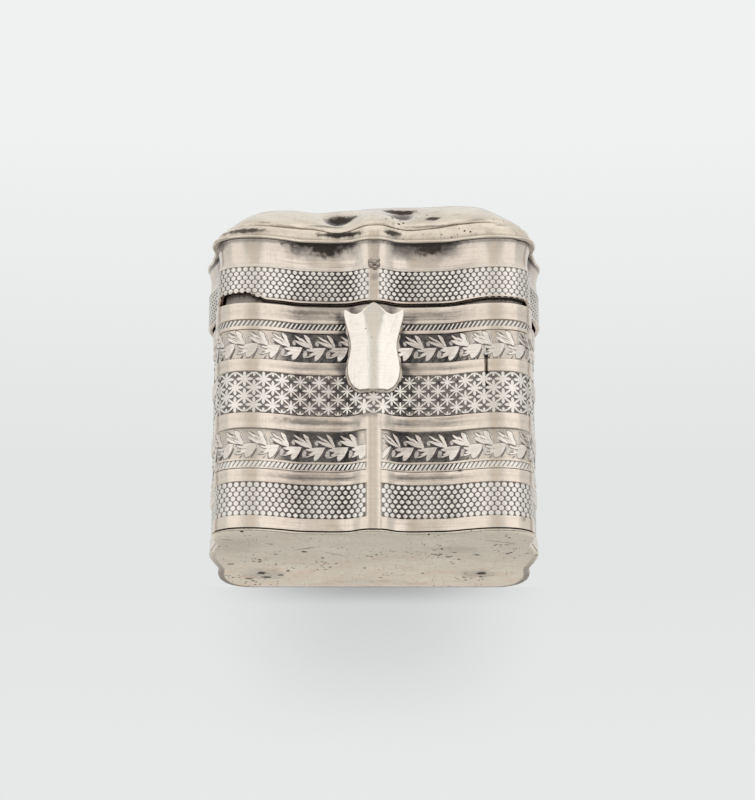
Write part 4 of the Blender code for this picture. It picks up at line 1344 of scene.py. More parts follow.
# Painted shade under the flange: the share of the cove's height above which its tone is low, and that tone
COVE_TOP_SHADE = (0.9, 0.35)
CHIP_XS = (-15.3 * MM, -10.5 * MM)
CHIP_RISE = 0.95 * MM
CHIP_REACH = 1.6 * MM
WARP_FROM_TO = (7.5 * MM, 11.5 * MM)
WARP_RISE = 0.27 * MM
CHIP_SHARES = (
    (0.0, 0.0), (0.03, 0.7), (0.08, 0.95), (0.14, 0.82), (0.2, 0.98), (0.27, 0.8), (0.34, 0.92),
    (0.42, 0.78), (0.5, 0.95), (0.58, 0.85), (0.64, 0.9), (0.7, 0.52), (0.78, 0.48), (0.84, 0.42),
    (0.93, 0.12), (1.0, 0.0),
)

lid_foot, lid_top = lid_low.z, lid_high.z
cove_foot = lid_foot + LID_EDGE + LID_SCALES
cove = lid_top - cove_foot
lid_section = [
    (lid_foot, -ROUNDING, 0.8), (lid_foot + ROUNDING, LID_EDGE_RISE, 1),
    (lid_foot + LID_EDGE - ROUNDING, LID_EDGE_RISE, 1), (lid_foot + LID_EDGE, GROUND, LID_GROUND_TONE),
]
for up in (0.25, 0.5, 0.75, 1.0):
    lid_section.append((lid_foot + LID_EDGE + LID_SCALES * up, GROUND, LID_GROUND_TONE))
lid_section += [(cove_foot + up, out, tone) for up, out, tone in COVE_LINE]
# Painted shade: the top of the cove, under the flange, gets a low tone
shade_from, shade_tone = COVE_TOP_SHADE
for up in COVE_SHARES:
    bowl = math.sin(math.pi * min(1.0, up * COVE_STRETCH)) ** COVE_FULLNESS
    dip = -COVE_DEPTH * bowl + COVE_FLARE * up**3
    lid_section.append((cove_foot + cove * up, dip, 1 if up < shade_from else shade_tone))
lid_outer = len(lid_section)
inside_heights = (lid_top, cove_foot, lid_foot + CHIP_REACH, lid_foot + ROUNDING)
lid_section += [(z, -LID_WALL, INSIDE_TONE) for z in inside_heights]
lid_section.append((lid_foot, -LID_WALL + ROUNDING, 0.8))

along = (lid_plan[:, 0] - CHIP_XS[0]) / (CHIP_XS[1] - CHIP_XS[0])
broken = np.interp(along, *zip(*CHIP_SHARES)) * (lid_plan[:, 1] < 0) * CHIP_RISE
broken += ramp(lid_plan[:, 0], *WARP_FROM_TO) * ramp(-lid_plan[:, 1], 0, 4 * MM) * WARP_RISE
print("deepest part of the break in millimetres:", round(broken.max() / MM, 2))

# %% [markdown]
# The cove is made darker in the hollows under the flange, and the ridge shows a brown smear where it was
# soldered. The darkening follows the hollow of the wall and grows towards the flange.

# %% The rings of the lid's strip
COVE_DARK_FROM = 1.2 * MM
COVE_DARK_PER_HOLLOW = 1.7
COVE_DARK_LEAST = 0.35
COVE_DARK_GROWTH = 0.6
COVE_DARK_LEVEL = 0.85
COVE_DARK_WAVER = 0.9
COVE_DARK_SCALE = 700
SMEAR_X = 0.15 * MM
SMEAR_FROM_TO = (0.248 * MM, 0.62 * MM)
SMEAR_DARK = 0.22
LID_WAVER_SHARE = 1.3
LID_BARE = 0.5 * MM
LID_BARE_FROM_TO = (LID_BARE * 0.8, LID_BARE * 1.2)
LID_RIDGE_OUT = 0.03 * MM
LID_RIDGE_TONE = 0.95
LID_RIDGE_RUB = 0.85


def lid_rings():
    """The lid strip's rings, with the break, and their tones."""
    normal = outward(lid_plan)
    front = lid_plan[:, 1] < 0
    bare = front * (1 - ramp(np.abs(lid_plan[:, 0]), *LID_BARE_FROM_TO))
    smeared = front * (1 - ramp(np.abs(lid_plan[:, 0] - SMEAR_X), *SMEAR_FROM_TO))
    rings, tones = [], []
    for k, (z, out, tone) in enumerate(lid_section):
        spots = np.column_stack((lid_plan, np.full(len(lid_plan), z)))
        low = np.clip((lid_foot + CHIP_REACH - z) / CHIP_REACH, 0, 1)
        spots[:, 2] += broken * low
        shades = np.full(len(lid_plan), float(tone))
        if k < lid_outer and z > cove_foot + COVE_DARK_FROM:
            high = (z - cove_foot - COVE_DARK_FROM) / (cove - COVE_DARK_FROM)
            cove_dark = np.clip(lid_hollow * COVE_DARK_PER_HOLLOW - COVE_DARK_LEAST, 0, 1) * high**COVE_DARK_GROWTH
            shades -= cove_dark * np.clip(COVE_DARK_LEVEL + waver(spots, COVE_DARK_WAVER, COVE_DARK_SCALE), 0, 1)
        if k < lid_outer and z > cove_foot - LID_EDGE:
            shades -= smeared * SMEAR_DARK
        outs = out + waver(spots) * LID_WAVER_SHARE
        if out == GROUND:
            outs = outs * (1 - bare) + bare * LID_RIDGE_OUT
            shades = shades * (1 - bare) + bare * LID_RIDGE_TONE
        rings.append(np.column_stack((spots[:, :2] + normal * outs[:, None], spots[:, 2])))
        tones.append(np.clip(shades, 0, 1))
    return rings, tones, lid_hollow * (1 - LID_RIDGE_RUB * bare)


rings, tones, hollow = lid_rings()
lid_strip = join_rings("lid_band_strip", rings, tones, hollow, lid_silver)
settle(lid_strip, "lid", "lid_silver", "lid_band")

# %% [markdown]
# The lid carries the same net of scales as the foot, and it stops at the bare ridge. The path carries the
# height of the break, so that scales which would hang below it are left out.

# %% Scales round the lid
LID_SCALE_PITCH = 0.62 * MM

lid_path = path_object("lid path", lid_plan, lid_hollow, broken)
row_pitch = LID_SCALES / SCALE_ROWS
lid_scale = scale_motif("lid scale", LID_SCALE_PITCH, row_pitch)
wrap("lid_scales", lid_scale, lid_path, "lid", "lid_silver", LID_SCALE_PITCH, **{
    "Rows": SCALE_ROWS, "Row Pitch": row_pitch, "Foot": lid_foot + LID_EDGE + row_pitch / 2, "Stagger": 0.5,
    "Material": ornament_silver, "Edge": lid_foot, "Bare Half": LID_BARE,
})

# %% [markdown]
# The top of the lid is one stamped sheet: a flat flange with a wire-like edge, a low swell, a crease, and a
# larger swell up to the crown. Its rings rise on the same curves as the solid. What makes it old is added
# to the heights: the left side has sunk, and two valleys and a few dents run up from the hollows of the
# front. A table lists them, because each was read off the real box, and a Gaussian gives each its soft
# shape.

# %% The shape of the dome
FLANGE_OVERHANG = 0.22 * MM
FLANGE_THICKNESS = 0.36 * MM
FLANGE_LIP = 0.4 * MM
LOWER_SWELL_INSET = 0.75 * MM
LOWER_SWELL_RISE = 1.8 * MM
CREASE_DIP = 0.28 * MM
SIDE_WAY_SHARES = (0.32, 0.38)
TOP_RELIEF_SHARE = 0.45
CORNER_FROM_TO = (3 * MM, 6 * MM)
CORNER_SIDE_SHARES = (0.7, 0.9)
CORNER_FLARE = 0.4 * MM
DOME_SHEET = 0.3 * MM
SINK_FROM_X = 8 * MM
SINK_PER_X = 0.028
DING = 0.10 * MM
DING_SCALE = 230
DING_SHARE = 0.2
FINE_DING = 0.03 * MM
FINE_DING_SCALE = 620
FLANGE_SPARE = 0.02 * MM

# Each dent gives its middle across and back, its half widths and its depth in millimetres. The last one rises
DENTS = (
    (-3.6, -10.4, 1.9, 3.0, 0.85), (3.9, -10.4, 1.6, 2.6, 0.55), (-3.6, -6.4, 1.9, 1.6, 1.25),
    (2.8, -6.2, 1.6, 1.6, 0.95), (-6.0, -2.5, 1.6, 3.0, 0.42), (6.0, -8.4, 1.3, 1.0, 0.30),
    (-9.5, -8.8, 1.8, 1.4, 0.25), (11.0, -8.6, 1.6, 1.4, 0.15), (-14.2, -3.0, 1.3, 7.0, 0.88),
    (14.0, -3.0, 2.0, 7.0, 1.25), (2.6, -2.0, 3.8, 3.0, -0.22),
)

dome_low, dome_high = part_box("lid_top")
flange_top = dome_low.z + FLANGE_THICKNESS
dome_rise = dome_high.z - flange_top
half_width = SIDE_BOW + LID_EXTRA_BOW + FLANGE_OVERHANG
dome_half_depth = half_depth + FLANGE_OVERHANG
crease = FLANGE_LIP + LOWER_SWELL_INSET


def dome_ring(inset, z, way_in=0.0, side_inset=None):
    """A ring of the dome at a distance in from the flange's edge, which may differ at the sides."""
    relief = 1 - (1 - TOP_RELIEF_SHARE) * way_in
    outline = plan(LID_EXTRA_BOW, relief)
    outline = outline + outward(outline) * FLANGE_OVERHANG
    side_inset = inset if side_inset is None else side_inset
    outline = outline * ((half_width - side_inset) / half_width, (dome_half_depth - inset) / dome_half_depth)
    near, far = (share * half_width for share in CORNER_SIDE_SHARES)
    corner = ramp(-outline[:, 1], *CORNER_FROM_TO) * ramp(np.abs(outline[:, 0]), near, far)
    outline[:, 0] += np.sign(outline[:, 0]) * corner * CORNER_FLARE * (1 - way_in)
    outline[:, 0] = np.clip(outline[:, 0], FLANGE_SPARE - half_width, half_width - FLANGE_SPARE)
    return np.column_stack((outline, np.full(len(outline), z)))


def weather(ring, share):
    """Dent the sheet and sink its left side, more so higher up."""
    x, y = ring[:, 0], ring[:, 1]
    change = -np.clip(SINK_FROM_X - x, 0, None) * SINK_PER_X
    change -= waver(ring, DING, DING_SCALE) + DING * DING_SHARE
    change -= np.abs(waver(ring, FINE_DING, FINE_DING_SCALE))
    for across, back, wide, deep, depth in DENTS:
        far = ((x - across * MM) / (wide * MM)) ** 2 + ((y - back * MM) / (deep * MM)) ** 2
        change = change - depth * MM * np.exp(-far)
    ring[:, 2] += change * share
    return ring


print("dents in the table:", len(DENTS))

# %% [markdown]
# The rings lie closer together where the sheet bends more. A stack of such rings has hips where they turn,
# and a stamped sheet has none, so the upper swell is softened before it is dented.

# %% The rings of the dome
LOWER_WAYS = (0.06, 0.14, 0.24, 0.36, 0.5, 0.65, 0.82, 0.94)
LOWER_FULLNESS = 0.65
LOWER_DENT_SHARE = 0.7
UPPER_WAYS = (
    0.01, 0.025, 0.045, 0.07, 0.1, 0.14, 0.19, 0.25, 0.32, 0.4, 0.48, 0.57, 0.66, 0.75, 0.84, 0.92, 0.97,
    0.99,
)
UPPER_FULLNESS = 0.75
UPPER_DENT_SHARE = 0.75
PILLOW_REACH = 1.5 * MM
PILLOW_RINGS = 8
PILLOW_FROM = 3

outer_rings, dent_shares = [], []
for way in LOWER_WAYS:
    rise = (1 - (1 - way) ** 2) ** LOWER_FULLNESS
    outer_rings.append(dome_ring(FLANGE_LIP + LOWER_SWELL_INSET * way, flange_top + LOWER_SWELL_RISE * rise))
    dent_shares.append(LOWER_DENT_SHARE * rise)
outer_rings.append(dome_ring(crease, flange_top + LOWER_SWELL_RISE - CREASE_DIP))
dent_shares.append(UPPER_DENT_SHARE)
upper_start = len(outer_rings)
first, growth = SIDE_WAY_SHARES
reach = dome_half_depth - crease
for way in UPPER_WAYS:
    rise = (1 - (1 - way) ** 2) ** UPPER_FULLNESS
    z = flange_top + LOWER_SWELL_RISE + (dome_rise - LOWER_SWELL_RISE) * rise
    outer_rings.append(dome_ring(crease + reach * way, z, way, crease + reach * way * (first + growth * way)))
    dent_shares.append(UPPER_DENT_SHARE + (1 - UPPER_DENT_SHARE) * rise)


def pillow(rings):
    """Soften the heights of the upper swell, more so away from the crease."""
    sheet = np.array(rings)
    swell = sheet[upper_start:]
    aside = np.linalg.norm(np.roll(swell, -1, axis=1) - swell, axis=2)
    upward = np.linalg.norm(np.gradient(swell, axis=0), axis=2)
    flat = swell.reshape(-1, 3)
    area = (aside * upward).ravel()
    for k in range(PILLOW_FROM, len(swell)):
        reach = PILLOW_REACH * min(1.0, k / PILLOW_RINGS)
        away = ((swell[k][:, None, :2] - flat[None, :, :2]) ** 2).sum(axis=2)
        weight = np.exp(-away / reach**2) * area
        sheet[upper_start + k, :, 2] = (weight @ flat[:, 2]) / weight.sum(axis=1)
    return list(sheet)


outer_rings = [weather(ring, share) for ring, share in zip(pillow(outer_rings), dent_shares)]
print("rings in the dome:", len(outer_rings))

# %% [markdown]
# The sheet has an inside too, which shows when the lid is open. It is the outside moved in along its
# normals, which are measured from the neighbours of each point. The flange's edge is a half circle between
# the two. The sheet is made darker in its hollows, so the hollow of each point is measured as well: how
# strongly the sheet bends up on both sides of it.

# %% The top of the lid
CROWN_FROM = -4
HOLLOW_SPANS = ((1, 4), (2, 8))
HOLLOW_FROM = 0.05 / MM
HOLLOW_TO = 0.55 / MM
DEEP_DARK = 0.8
RIM_ANGLES = (-90, -60, -30, 0, 30, 60, 90)
# Painted shade: the bead's lower half, which faces down, gets low tones
RIM_SHADE_TONES = [0.3, 0.6, 1, 1, 1, 1, 1]
RIM_WAVER = (0.03 * MM, 150)
RIM_DROP = 0.02 * MM
LIP_SHARES = (0.85, 1.0)
LIP_TONES = [0.35, 0.25]
LIP_DROP = 0.09 * MM
UNDERSIDE_TONE = 0.6
UNDERSIDE_HOLLOW = 0.6
RIM_HOLLOW = 0.1
LEAST_HOLLOW = 0.25

sheet = np.array(outer_rings)
around = np.roll(sheet, -1, axis=1) - np.roll(sheet, 1, axis=1)
upward = np.gradient(sheet, axis=0)
facing = np.cross(around, upward)
facing /= np.linalg.norm(facing, axis=2)[:, :, None]
facing[CROWN_FROM:] = (0, 0, 1)


def bending(one, other):
    """How strongly the sheet bends up towards two points on either side, as 1 over a radius."""
    near, far = one - sheet, other - sheet
    near_by, far_by = (np.linalg.norm(step, axis=2) + 1e-7 for step in (near, far))
    rise = (near * facing).sum(axis=2) / near_by + (far * facing).sum(axis=2) / far_by
    return 2 * rise / (near_by + far_by)


bend = 0
for up, aside in HOLLOW_SPANS:
    padded = np.pad(sheet, ((up, up), (0, 0), (0, 0)), mode="reflect", reflect_type="odd")
    bend = bend + bending(padded[2 * up:], padded[:-2 * up]) / len(HOLLOW_SPANS)
    bend = bend + bending(np.roll(sheet, aside, axis=1), np.roll(sheet, -aside, axis=1)) / len(HOLLOW_SPANS)
deep = ramp(bend, HOLLOW_FROM, HOLLOW_TO)
print("share of the dome that lies in a hollow:", round(float((deep > 0.5).mean()), 2))
inside = sheet - facing * DOME_SHEET
underside = dome_ring(crease - LOWER_SWELL_INSET + DOME_SHEET, dome_low.z)
bead = FLANGE_THICKNESS / 2
rim = []
for angle in RIM_ANGLES:
    way, rise = math.cos(math.radians(angle)), math.sin(math.radians(angle))
    ring = dome_ring(bead * (1 - way), dome_low.z + bead * (1 + rise))
    ring[:, 2] += waver(ring, *RIM_WAVER) - RIM_DROP
    rim.append(ring)
lip = [dome_ring(FLANGE_LIP * share, flange_top - LIP_DROP) for share in LIP_SHARES]
rings = list(inside[::-1]) + [underside] + rim + lip + outer_rings
inner_count = len(outer_rings) + 1
around = len(lid_plan)
tones = [np.full(around, tone) for tone in [UNDERSIDE_TONE] * inner_count + RIM_SHADE_TONES + LIP_TONES]
tones += list(1 - deep * DEEP_DARK)
hollows = [np.full(around, UNDERSIDE_HOLLOW)] * inner_count
hollows += [np.full(around, RIM_HOLLOW)] * (len(rim) + len(lip)) + list(np.clip(deep, LEAST_HOLLOW, 1))
poles = [rings[0].mean(axis=0), rings[-1].mean(axis=0)]
dome = join_rings("lid_top_sheet", rings, tones, hollows, dome_silver, poles)
settle(dome, "lid", "dome_silver", "lid_top")

# %% [markdown]
# The thumb shield is cut from thicker sheet and soldered over the ridge, its top leaning out to be pushed.
# Its outline swells, has a waist, and ends above in two horns and a point. A grid of two shares covers it:
# two small tables say how wide and how high it is at each. The solder that squeezed out round it is the
# same grid grown a little, thinner and lumpy.

# %% The thumb shield
SHIELD_WIDTH = 5.92 * MM
SHIELD_HEIGHT = 8.8 * MM
SHIELD_LEAN = 0.45 * MM
SHIELD_LEAN_FROM_SHARE = 0.6
SHIELD_SHEET = 0.4 * MM
SHIELD_EDGE = 0.09 * MM
SHIELD_SMOOTH = 0.9 * MM
SHIELD_SEAT_GAP = 0.1 * MM
SHIELD_COLUMNS = np.concatenate(([-1, -0.985, -0.965], np.linspace(-0.94, 0.94, 41), [0.965, 0.985, 1]))
SHIELD_ROWS = np.concatenate(([0, 0.006, 0.015, 0.03], np.linspace(0.05, 0.95, 48), [0.97, 0.985, 0.994, 1]))
BORDER_SHEET_SHARE = 0.35
SOLDER_GROW = 0.17 * MM
SOLDER_SHEET = 0.14 * MM
SOLDER_TOP_SHARE = 0.82
SOLDER_LUMPS = 0.12 * MM
SOLDER_LUMP_SCALE = 1500
SOLDER_LUMPS_ASIDE = 1.2
SOLDER_LUMPS_APART = 5
WIDTH_SHARES = (
    (0.0, 0.44), (0.015, 0.53), (0.05, 0.66), (0.10, 0.76), (0.17, 0.84), (0.24, 0.875), (0.30, 0.882),
    (0.37, 0.86), (0.46, 0.80), (0.54, 0.775), (0.62, 0.79), (0.72, 0.85), (0.82, 0.925), (0.90, 0.975),
    (0.95, 1.0), (1.0, 0.985),
)
TOP_EDGE_SHARES = (
    (0.0, 1.0), (0.1, 0.988), (0.25, 0.943), (0.42, 0.895), (0.57, 0.879), (0.72, 0.890), (0.86, 0.922),
    (0.95, 0.945), (1.0, 0.935),
)
shield_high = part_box("thumb_shield")[1]
front_points = body_plan[(body_plan[:, 1] < 0) & (np.abs(body_plan[:, 0]) <= FRONT_HOLLOW_X)]
front_points = front_points[np.argsort(front_points[:, 0])]
apart = front_points[:, None, 0] - front_points[None, :, 0]
weight = np.exp(-((apart / SHIELD_SMOOTH) ** 2))
smooth_front = (weight @ front_points[:, 1]) / weight.sum(axis=1)
smooth_front += (front_points[:, 1] - smooth_front).min()
print("points of the wall behind the shield:", len(front_points))


def shield_grid(columns, rows, grow, back, thickness, edge):
    """Front and back grids of the shield. grow widens it, and edge is how far its border is rounded."""
    u, v = np.meshgrid(columns, rows)
    wide = np.interp(v, *zip(*WIDTH_SHARES)) * (SHIELD_WIDTH / 2 + grow)
    tall = np.interp(np.abs(u), *zip(*TOP_EDGE_SHARES)) * (SHIELD_HEIGHT + 2 * grow)
    x, z = u * wide, shield_high.z - SHIELD_HEIGHT - grow + v * tall
    wall_y = np.interp(x, front_points[:, 0], smooth_front)
    lean = np.clip((v - SHIELD_LEAN_FROM_SHARE) / (1 - SHIELD_LEAN_FROM_SHARE), 0, 1) ** 2 * SHIELD_LEAN
    away = np.minimum((1 - np.abs(u)) * wide, np.minimum(v, 1 - v) * tall)
    fall = np.sqrt(np.clip(1 - (1 - np.clip(away / edge, 0, 1)) ** 2, 0, 1))
    rear = wall_y - MOULDING_RISE - back - lean
    front = rear - thickness * (BORDER_SHEET_SHARE + (1 - BORDER_SHEET_SHARE) * fall)
    return np.stack((x, front, z), axis=-1), np.stack((x, rear, z), axis=-1)


def shield_piece(name, grow, back, thickness, edge, top_share, material, lumps=0.0):
    """Join the two grids along their borders."""
    front, rear = shield_grid(SHIELD_COLUMNS, SHIELD_ROWS * top_share, grow, back, thickness, edge)
    if lumps:
        bumps = waver(front.reshape(-1, 3), lumps, SOLDER_LUMP_SCALE).reshape(front.shape[:2])
        for grid in (front, rear):
            grid[:, :, 0] += bumps * np.sign(SHIELD_COLUMNS) * SOLDER_LUMPS_ASIDE
            grid[:, :, 2] += np.roll(bumps, SOLDER_LUMPS_APART, axis=1)
    down, wide = front.shape[:2]
    numbers = np.arange(down * wide).reshape(down, wide)
    corners = (numbers[:-1, :-1], numbers[:-1, 1:], numbers[1:, 1:], numbers[1:, :-1])
    quads = np.stack(corners, axis=-1).reshape(-1, 4)
    faces = quads.tolist() + (quads[:, ::-1] + down * wide).tolist()
    border = np.concatenate((numbers[0], numbers[1:, -1], numbers[-1, -2::-1], numbers[-2:0:-1, 0]))
    ahead = np.roll(border, -1)
    faces += np.column_stack((border, border + down * wide, ahead + down * wide, ahead)).tolist()
    points = np.vstack((front.reshape(-1, 3), rear.reshape(-1, 3)))
    return new_piece(name, points, faces, 1.0, 0.5, material)


shield = shield_piece(
    "thumb_shield_sheet", 0.0, SHIELD_SEAT_GAP, SHIELD_SHEET, SHIELD_EDGE, 1.0, shield_silver
)
settle(shield, "case", "shield_silver", "thumb_shield")
squeezed = shield_piece(
    "thumb_shield_solder", SOLDER_GROW, -SHIELD_SEAT_GAP / 2, SOLDER_SHEET, SOLDER_SHEET, SOLDER_TOP_SHARE,
    solder, SOLDER_LUMPS,
)
settle(squeezed, "case", None)

# %% [markdown]
# The hinge is a row of short tubes, soldered to the case and to the lid by turns, on one wire. Turned
# shapes could come from a Screw modifier. Rings round the hinge's axis are used instead, with the same
# function as the wall.

# %% The hinge
TUBE_SIDES = 40
TUBE_EDGE = 0.07 * MM
TUBE_TONE = 0.85
TUBE_HOLLOW = 0.5
BORE = 0.41 * MM
KNUCKLES = (
    ("case", ("case_knuckle_left", "case_knuckle_centre", "case_knuckle_right")),
    ("lid", ("lid_knuckle_left", "lid_knuckle_right")),
)


def turned_piece(name, profile, centre, material, poles=None):
    """A piece turned about X, from a profile of (x, radius) that runs to +X on the outside."""
    angles = np.linspace(0, 2 * math.pi, TUBE_SIDES, endpoint=False)
    rings = []
    for x, radius in profile:
        ring = np.column_stack((np.full(TUBE_SIDES, x), np.cos(angles) * radius, np.sin(angles) * radius))
        rings.append(ring + centre)
    ends = None if poles is None else [(centre[0] + x, centre[1], centre[2]) for x in poles]
    return join_rings(name, rings, TUBE_TONE, TUBE_HOLLOW, material, ends)


def knuckle(node):
    """One tube of the hinge, with softened rims, where its solid lies."""
    low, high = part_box(node)
    centre = np.array((low + high) / 2)
    half, radius = (high.x - low.x) / 2, (high.z - low.z) / 2
    profile = [
        (half, BORE), (half, radius - TUBE_EDGE), (half - TUBE_EDGE, radius),
        (-half + TUBE_EDGE, radius), (-half, radius - TUBE_EDGE), (-half, BORE),
    ]
    return turned_piece(node + "_tube", profile, centre, hinge_silver)


print("tubes of the hinge:", sum(len(nodes) for body, nodes in KNUCKLES))

# %% [markdown]
# Lumps of solder, uneven balls that are partly sunk in the metal, hold the tubes, so each tube is made
# together with its lump. On the front of the lid's ridge sits one more. It is a blob of six small lumps,
# because one ball would look too even.

# %% Lumps of solder
LUMP_SIDES = 28
LUMP_TILTS = np.radians(np.linspace(-80, 80, 15))
LUMP_NOISE = 0.15 * MM
LUMP_NOISE_SCALE = 1700
FILLET_DROP = 0.55 * MM
FILLET_IN = 0.42 * MM
FILLET_HALF = (0.36 * MM, 0.42 * MM)
FILLET_LENGTH_SHARE = 0.94
RIDGE_LUMP_Z = 27.4 * MM
RIDGE_LUMP_DEPTH = 0.28 * MM
RIDGE_LUMP_TONE = 0.9
FILLET_TONE = 0.7
LUMP_HOLLOW = 0.6

# Each lump on the lid's ridge gives its middle across and up from there, and its half size, in millimetres
RIDGE_LUMPS = (
    (-0.28, 0.24, 0.27), (0.34, 0.30, 0.29), (-0.24, -0.26, 0.28), (0.40, -0.16, 0.26), (0.06, 0.04, 0.30),
    (0.08, -0.46, 0.20),
)


def lump(name, body, middle, half_sizes, tone):
    """An uneven lump of solder."""
    angles = np.linspace(0, 2 * math.pi, LUMP_SIDES, endpoint=False)
    rings = []
    for tilt in LUMP_TILTS:
        flat, height = math.cos(tilt), np.full(LUMP_SIDES, math.sin(tilt))
        ring = np.column_stack((np.cos(angles) * flat, np.sin(angles) * flat, height))
        ring = ring * half_sizes + middle
        ring += (ring - middle) * waver(ring, LUMP_NOISE / min(half_sizes), LUMP_NOISE_SCALE)[:, None]
        rings.append(ring)
    ends = [ring.mean(axis=0) for ring in (rings[0], rings[-1])]
    settle(join_rings(name, rings, tone, LUMP_HOLLOW, solder, ends), body, None)


for body, nodes in KNUCKLES:
    for node in nodes:
        settle(knuckle(node), body, "hinge_silver", node)
        low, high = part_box(node)
        centre = (low + high) / 2
        drop = FILLET_DROP if body == "case" else -FILLET_DROP
        middle = np.array((centre.x, centre.y - FILLET_IN, centre.z - drop))
        half_length = (high.x - low.x) / 2 * FILLET_LENGTH_SHARE
        lump(node + "_solder", body, middle, np.array((half_length, *FILLET_HALF)), FILLET_TONE)

lid_ridge_y = lid_plan[0][1]
for k, (across, up, half) in enumerate(RIDGE_LUMPS):
    middle = np.array((across * MM, lid_ridge_y, RIDGE_LUMP_Z + up * MM))
    half_sizes = np.array((half * MM, RIDGE_LUMP_DEPTH, half * MM))
    lump(f"lid_ridge_solder_{k}", "lid", middle, half_sizes, RIDGE_LUMP_TONE)

# %% [markdown]
# The wire through the tubes was hammered flat at both ends, so each end is a low head. It is turned like
# the tubes.

# %% The pin
PIN_RADIUS = 0.36 * MM
HEAD_THICKNESS = 0.25 * MM
HEAD_SHARES = ((0.0, 0.3), (0.3, 0.75), (1.0, 1.0))

pin_low, pin_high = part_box("hinge_pin")
pin_half = (pin_high.x - pin_low.x) / 2
head = (pin_high.z - pin_low.z) / 2
pin_profile = [(pin_half - HEAD_THICKNESS * inwards, head * out) for inwards, out in HEAD_SHARES]
pin_profile.append((pin_half - HEAD_THICKNESS, PIN_RADIUS))
pin_profile += [(-x, radius) for x, radius in reversed(pin_profile)]
pin_centre = np.array((pin_low + pin_high) / 2)
pin = turned_piece("hinge_pin_wire", pin_profile, pin_centre, hinge_silver, (pin_half, -pin_half))
settle(pin, "case", "pin_silver", "hinge_pin")

# %% [markdown]
# A silver box shows what is around it, so the stage matters as much as the metal. Reflections see
# soft-edged cards, as in a studio. Cards, floor and table are all flat sheets that fade to nothing at their
# edges, so a few helpers make them.

# %% Sheets for the stage
CARD_FADE = 0.35


def plain_sheet(name, corners, material):
    """A flat sheet of the stage. Its shape is not counted as part of the box."""
    mesh = bpy.data.meshes.new(name)
    mesh.from_pydata(corners, [], [(0, 1, 2, 3)])
    mesh.materials.append(material)
    obj = bpy.data.objects.new(name, mesh)
    scene.collection.objects.link(obj)
    obj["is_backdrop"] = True
    return obj


def see_through(name, share, shader_tree, shown):
    """Mix a shader with nothing by a share, and put it out."""
    clear = add(shader_tree, "ShaderNodeBsdfTransparent").outputs[0]
    mixed = add(shader_tree, "ShaderNodeMixShader", {0: share, 1: clear, 2: shown}, name=name).outputs[0]
    shader_tree.links.new(mixed, shader_tree.nodes["Material Output"].inputs["Surface"])


def soft_edge(tree, half_x, half_y, middle=(0, 0, 0), soft=CARD_FADE, axes=(0, 1)):
    """1 in the middle of a sheet and 0 at its edge, from its own coordinates."""
    place = add(tree, "ShaderNodeTexCoord").outputs["Object"]
    parts = add(tree, "ShaderNodeSeparateXYZ", {0: place}).outputs
    mask = 1.0
    for axis, half in zip(axes, (half_x, half_y)):
        far = calc(tree, "ABSOLUTE", calc(tree, "SUBTRACT", parts[axis], middle[axis]))
        inner = {0: far, 1: half, 2: half * (1 - soft), 3: 0.0, 4: 1.0}
        fade = add(tree, "ShaderNodeMapRange", inner, interpolation_type="SMOOTHSTEP").outputs[0]
        mask = calc(tree, "MULTIPLY", fade, mask)
    return mask

# %% [markdown]
# Two bright cards stand in front at the left and the right and one hangs above. A dim warm one is where the
# photographer stood, and three dim ones behind give the sides and the back something to mirror.

# %% The cards
# Each card gives its azimuth, elevation and half angles in degrees, its distance, its level and its colour
CARDS = {
    "left card": (-36, 16, 27, 34, 0.62, 1.05, (1, 0.99, 0.97, 1)),
    "right card": (36, 16, 27, 34, 0.62, 1.12, (1, 0.99, 0.98, 1)),
    "top card": (0, 72, 34, 20, 0.62, 1.1, (1, 1, 1, 1)),
    "camera card": (0, 14, 5.5, 44, 0.55, 0.76, (1, 0.94, 0.86, 1)),
    "back card": (180, 5, 14, 30, 0.6, 0.45, (1, 0.96, 0.9, 1)),
    "back left card": (-115, 5, 12, 30, 0.6, 0.5, (1, 0.96, 0.9, 1)),
    "back right card": (115, 5, 12, 30, 0.6, 0.5, (1, 0.96, 0.9, 1)),
}


def card(name, azimuth, elevation, half_wide, half_tall, far, level, colour):
    """A glowing card that only reflections see, facing the box from one side."""
    material = bpy.data.materials.new(name)
    material.use_nodes = True
    tree = material.node_tree
    half_x, half_y = (far * math.tan(math.radians(angle)) for angle in (half_wide, half_tall))
    glow = add(tree, "ShaderNodeEmission", {"Color": colour, "Strength": level}).outputs[0]
    rays = add(tree, "ShaderNodeLightPath").outputs
    share = calc(tree, "MULTIPLY", soft_edge(tree, half_x, half_y), rays["Is Glossy Ray"])
    see_through("card mix", share, tree, glow)
    side, lift = math.radians(azimuth), math.radians(elevation)
    away = Vector((math.sin(side) * math.cos(lift), -math.cos(side) * math.cos(lift), math.sin(lift)))
    across = Vector((math.cos(side), math.sin(side), 0))
    upright = away.cross(across)
    obj = plain_sheet(name, [(x * half_x, y * half_y, 0) for x, y in CORNERS], material)
    obj.matrix_world = Matrix((across, upright, away)).transposed().to_4x4()
    obj.location = away * far + Vector((0, 0, AIM_HEIGHT))
    obj.visible_camera = obj.visible_shadow = obj.visible_diffuse = False


for name, sizes in CARDS.items():
    card(name, *sizes)
print("cards:", len(CARDS))

# %% [markdown]
# The world is the room around the box. Reflections see it brighter above than below, with a lift behind and
# overhead, and the camera sees a pale wall. One even level lights everything else.

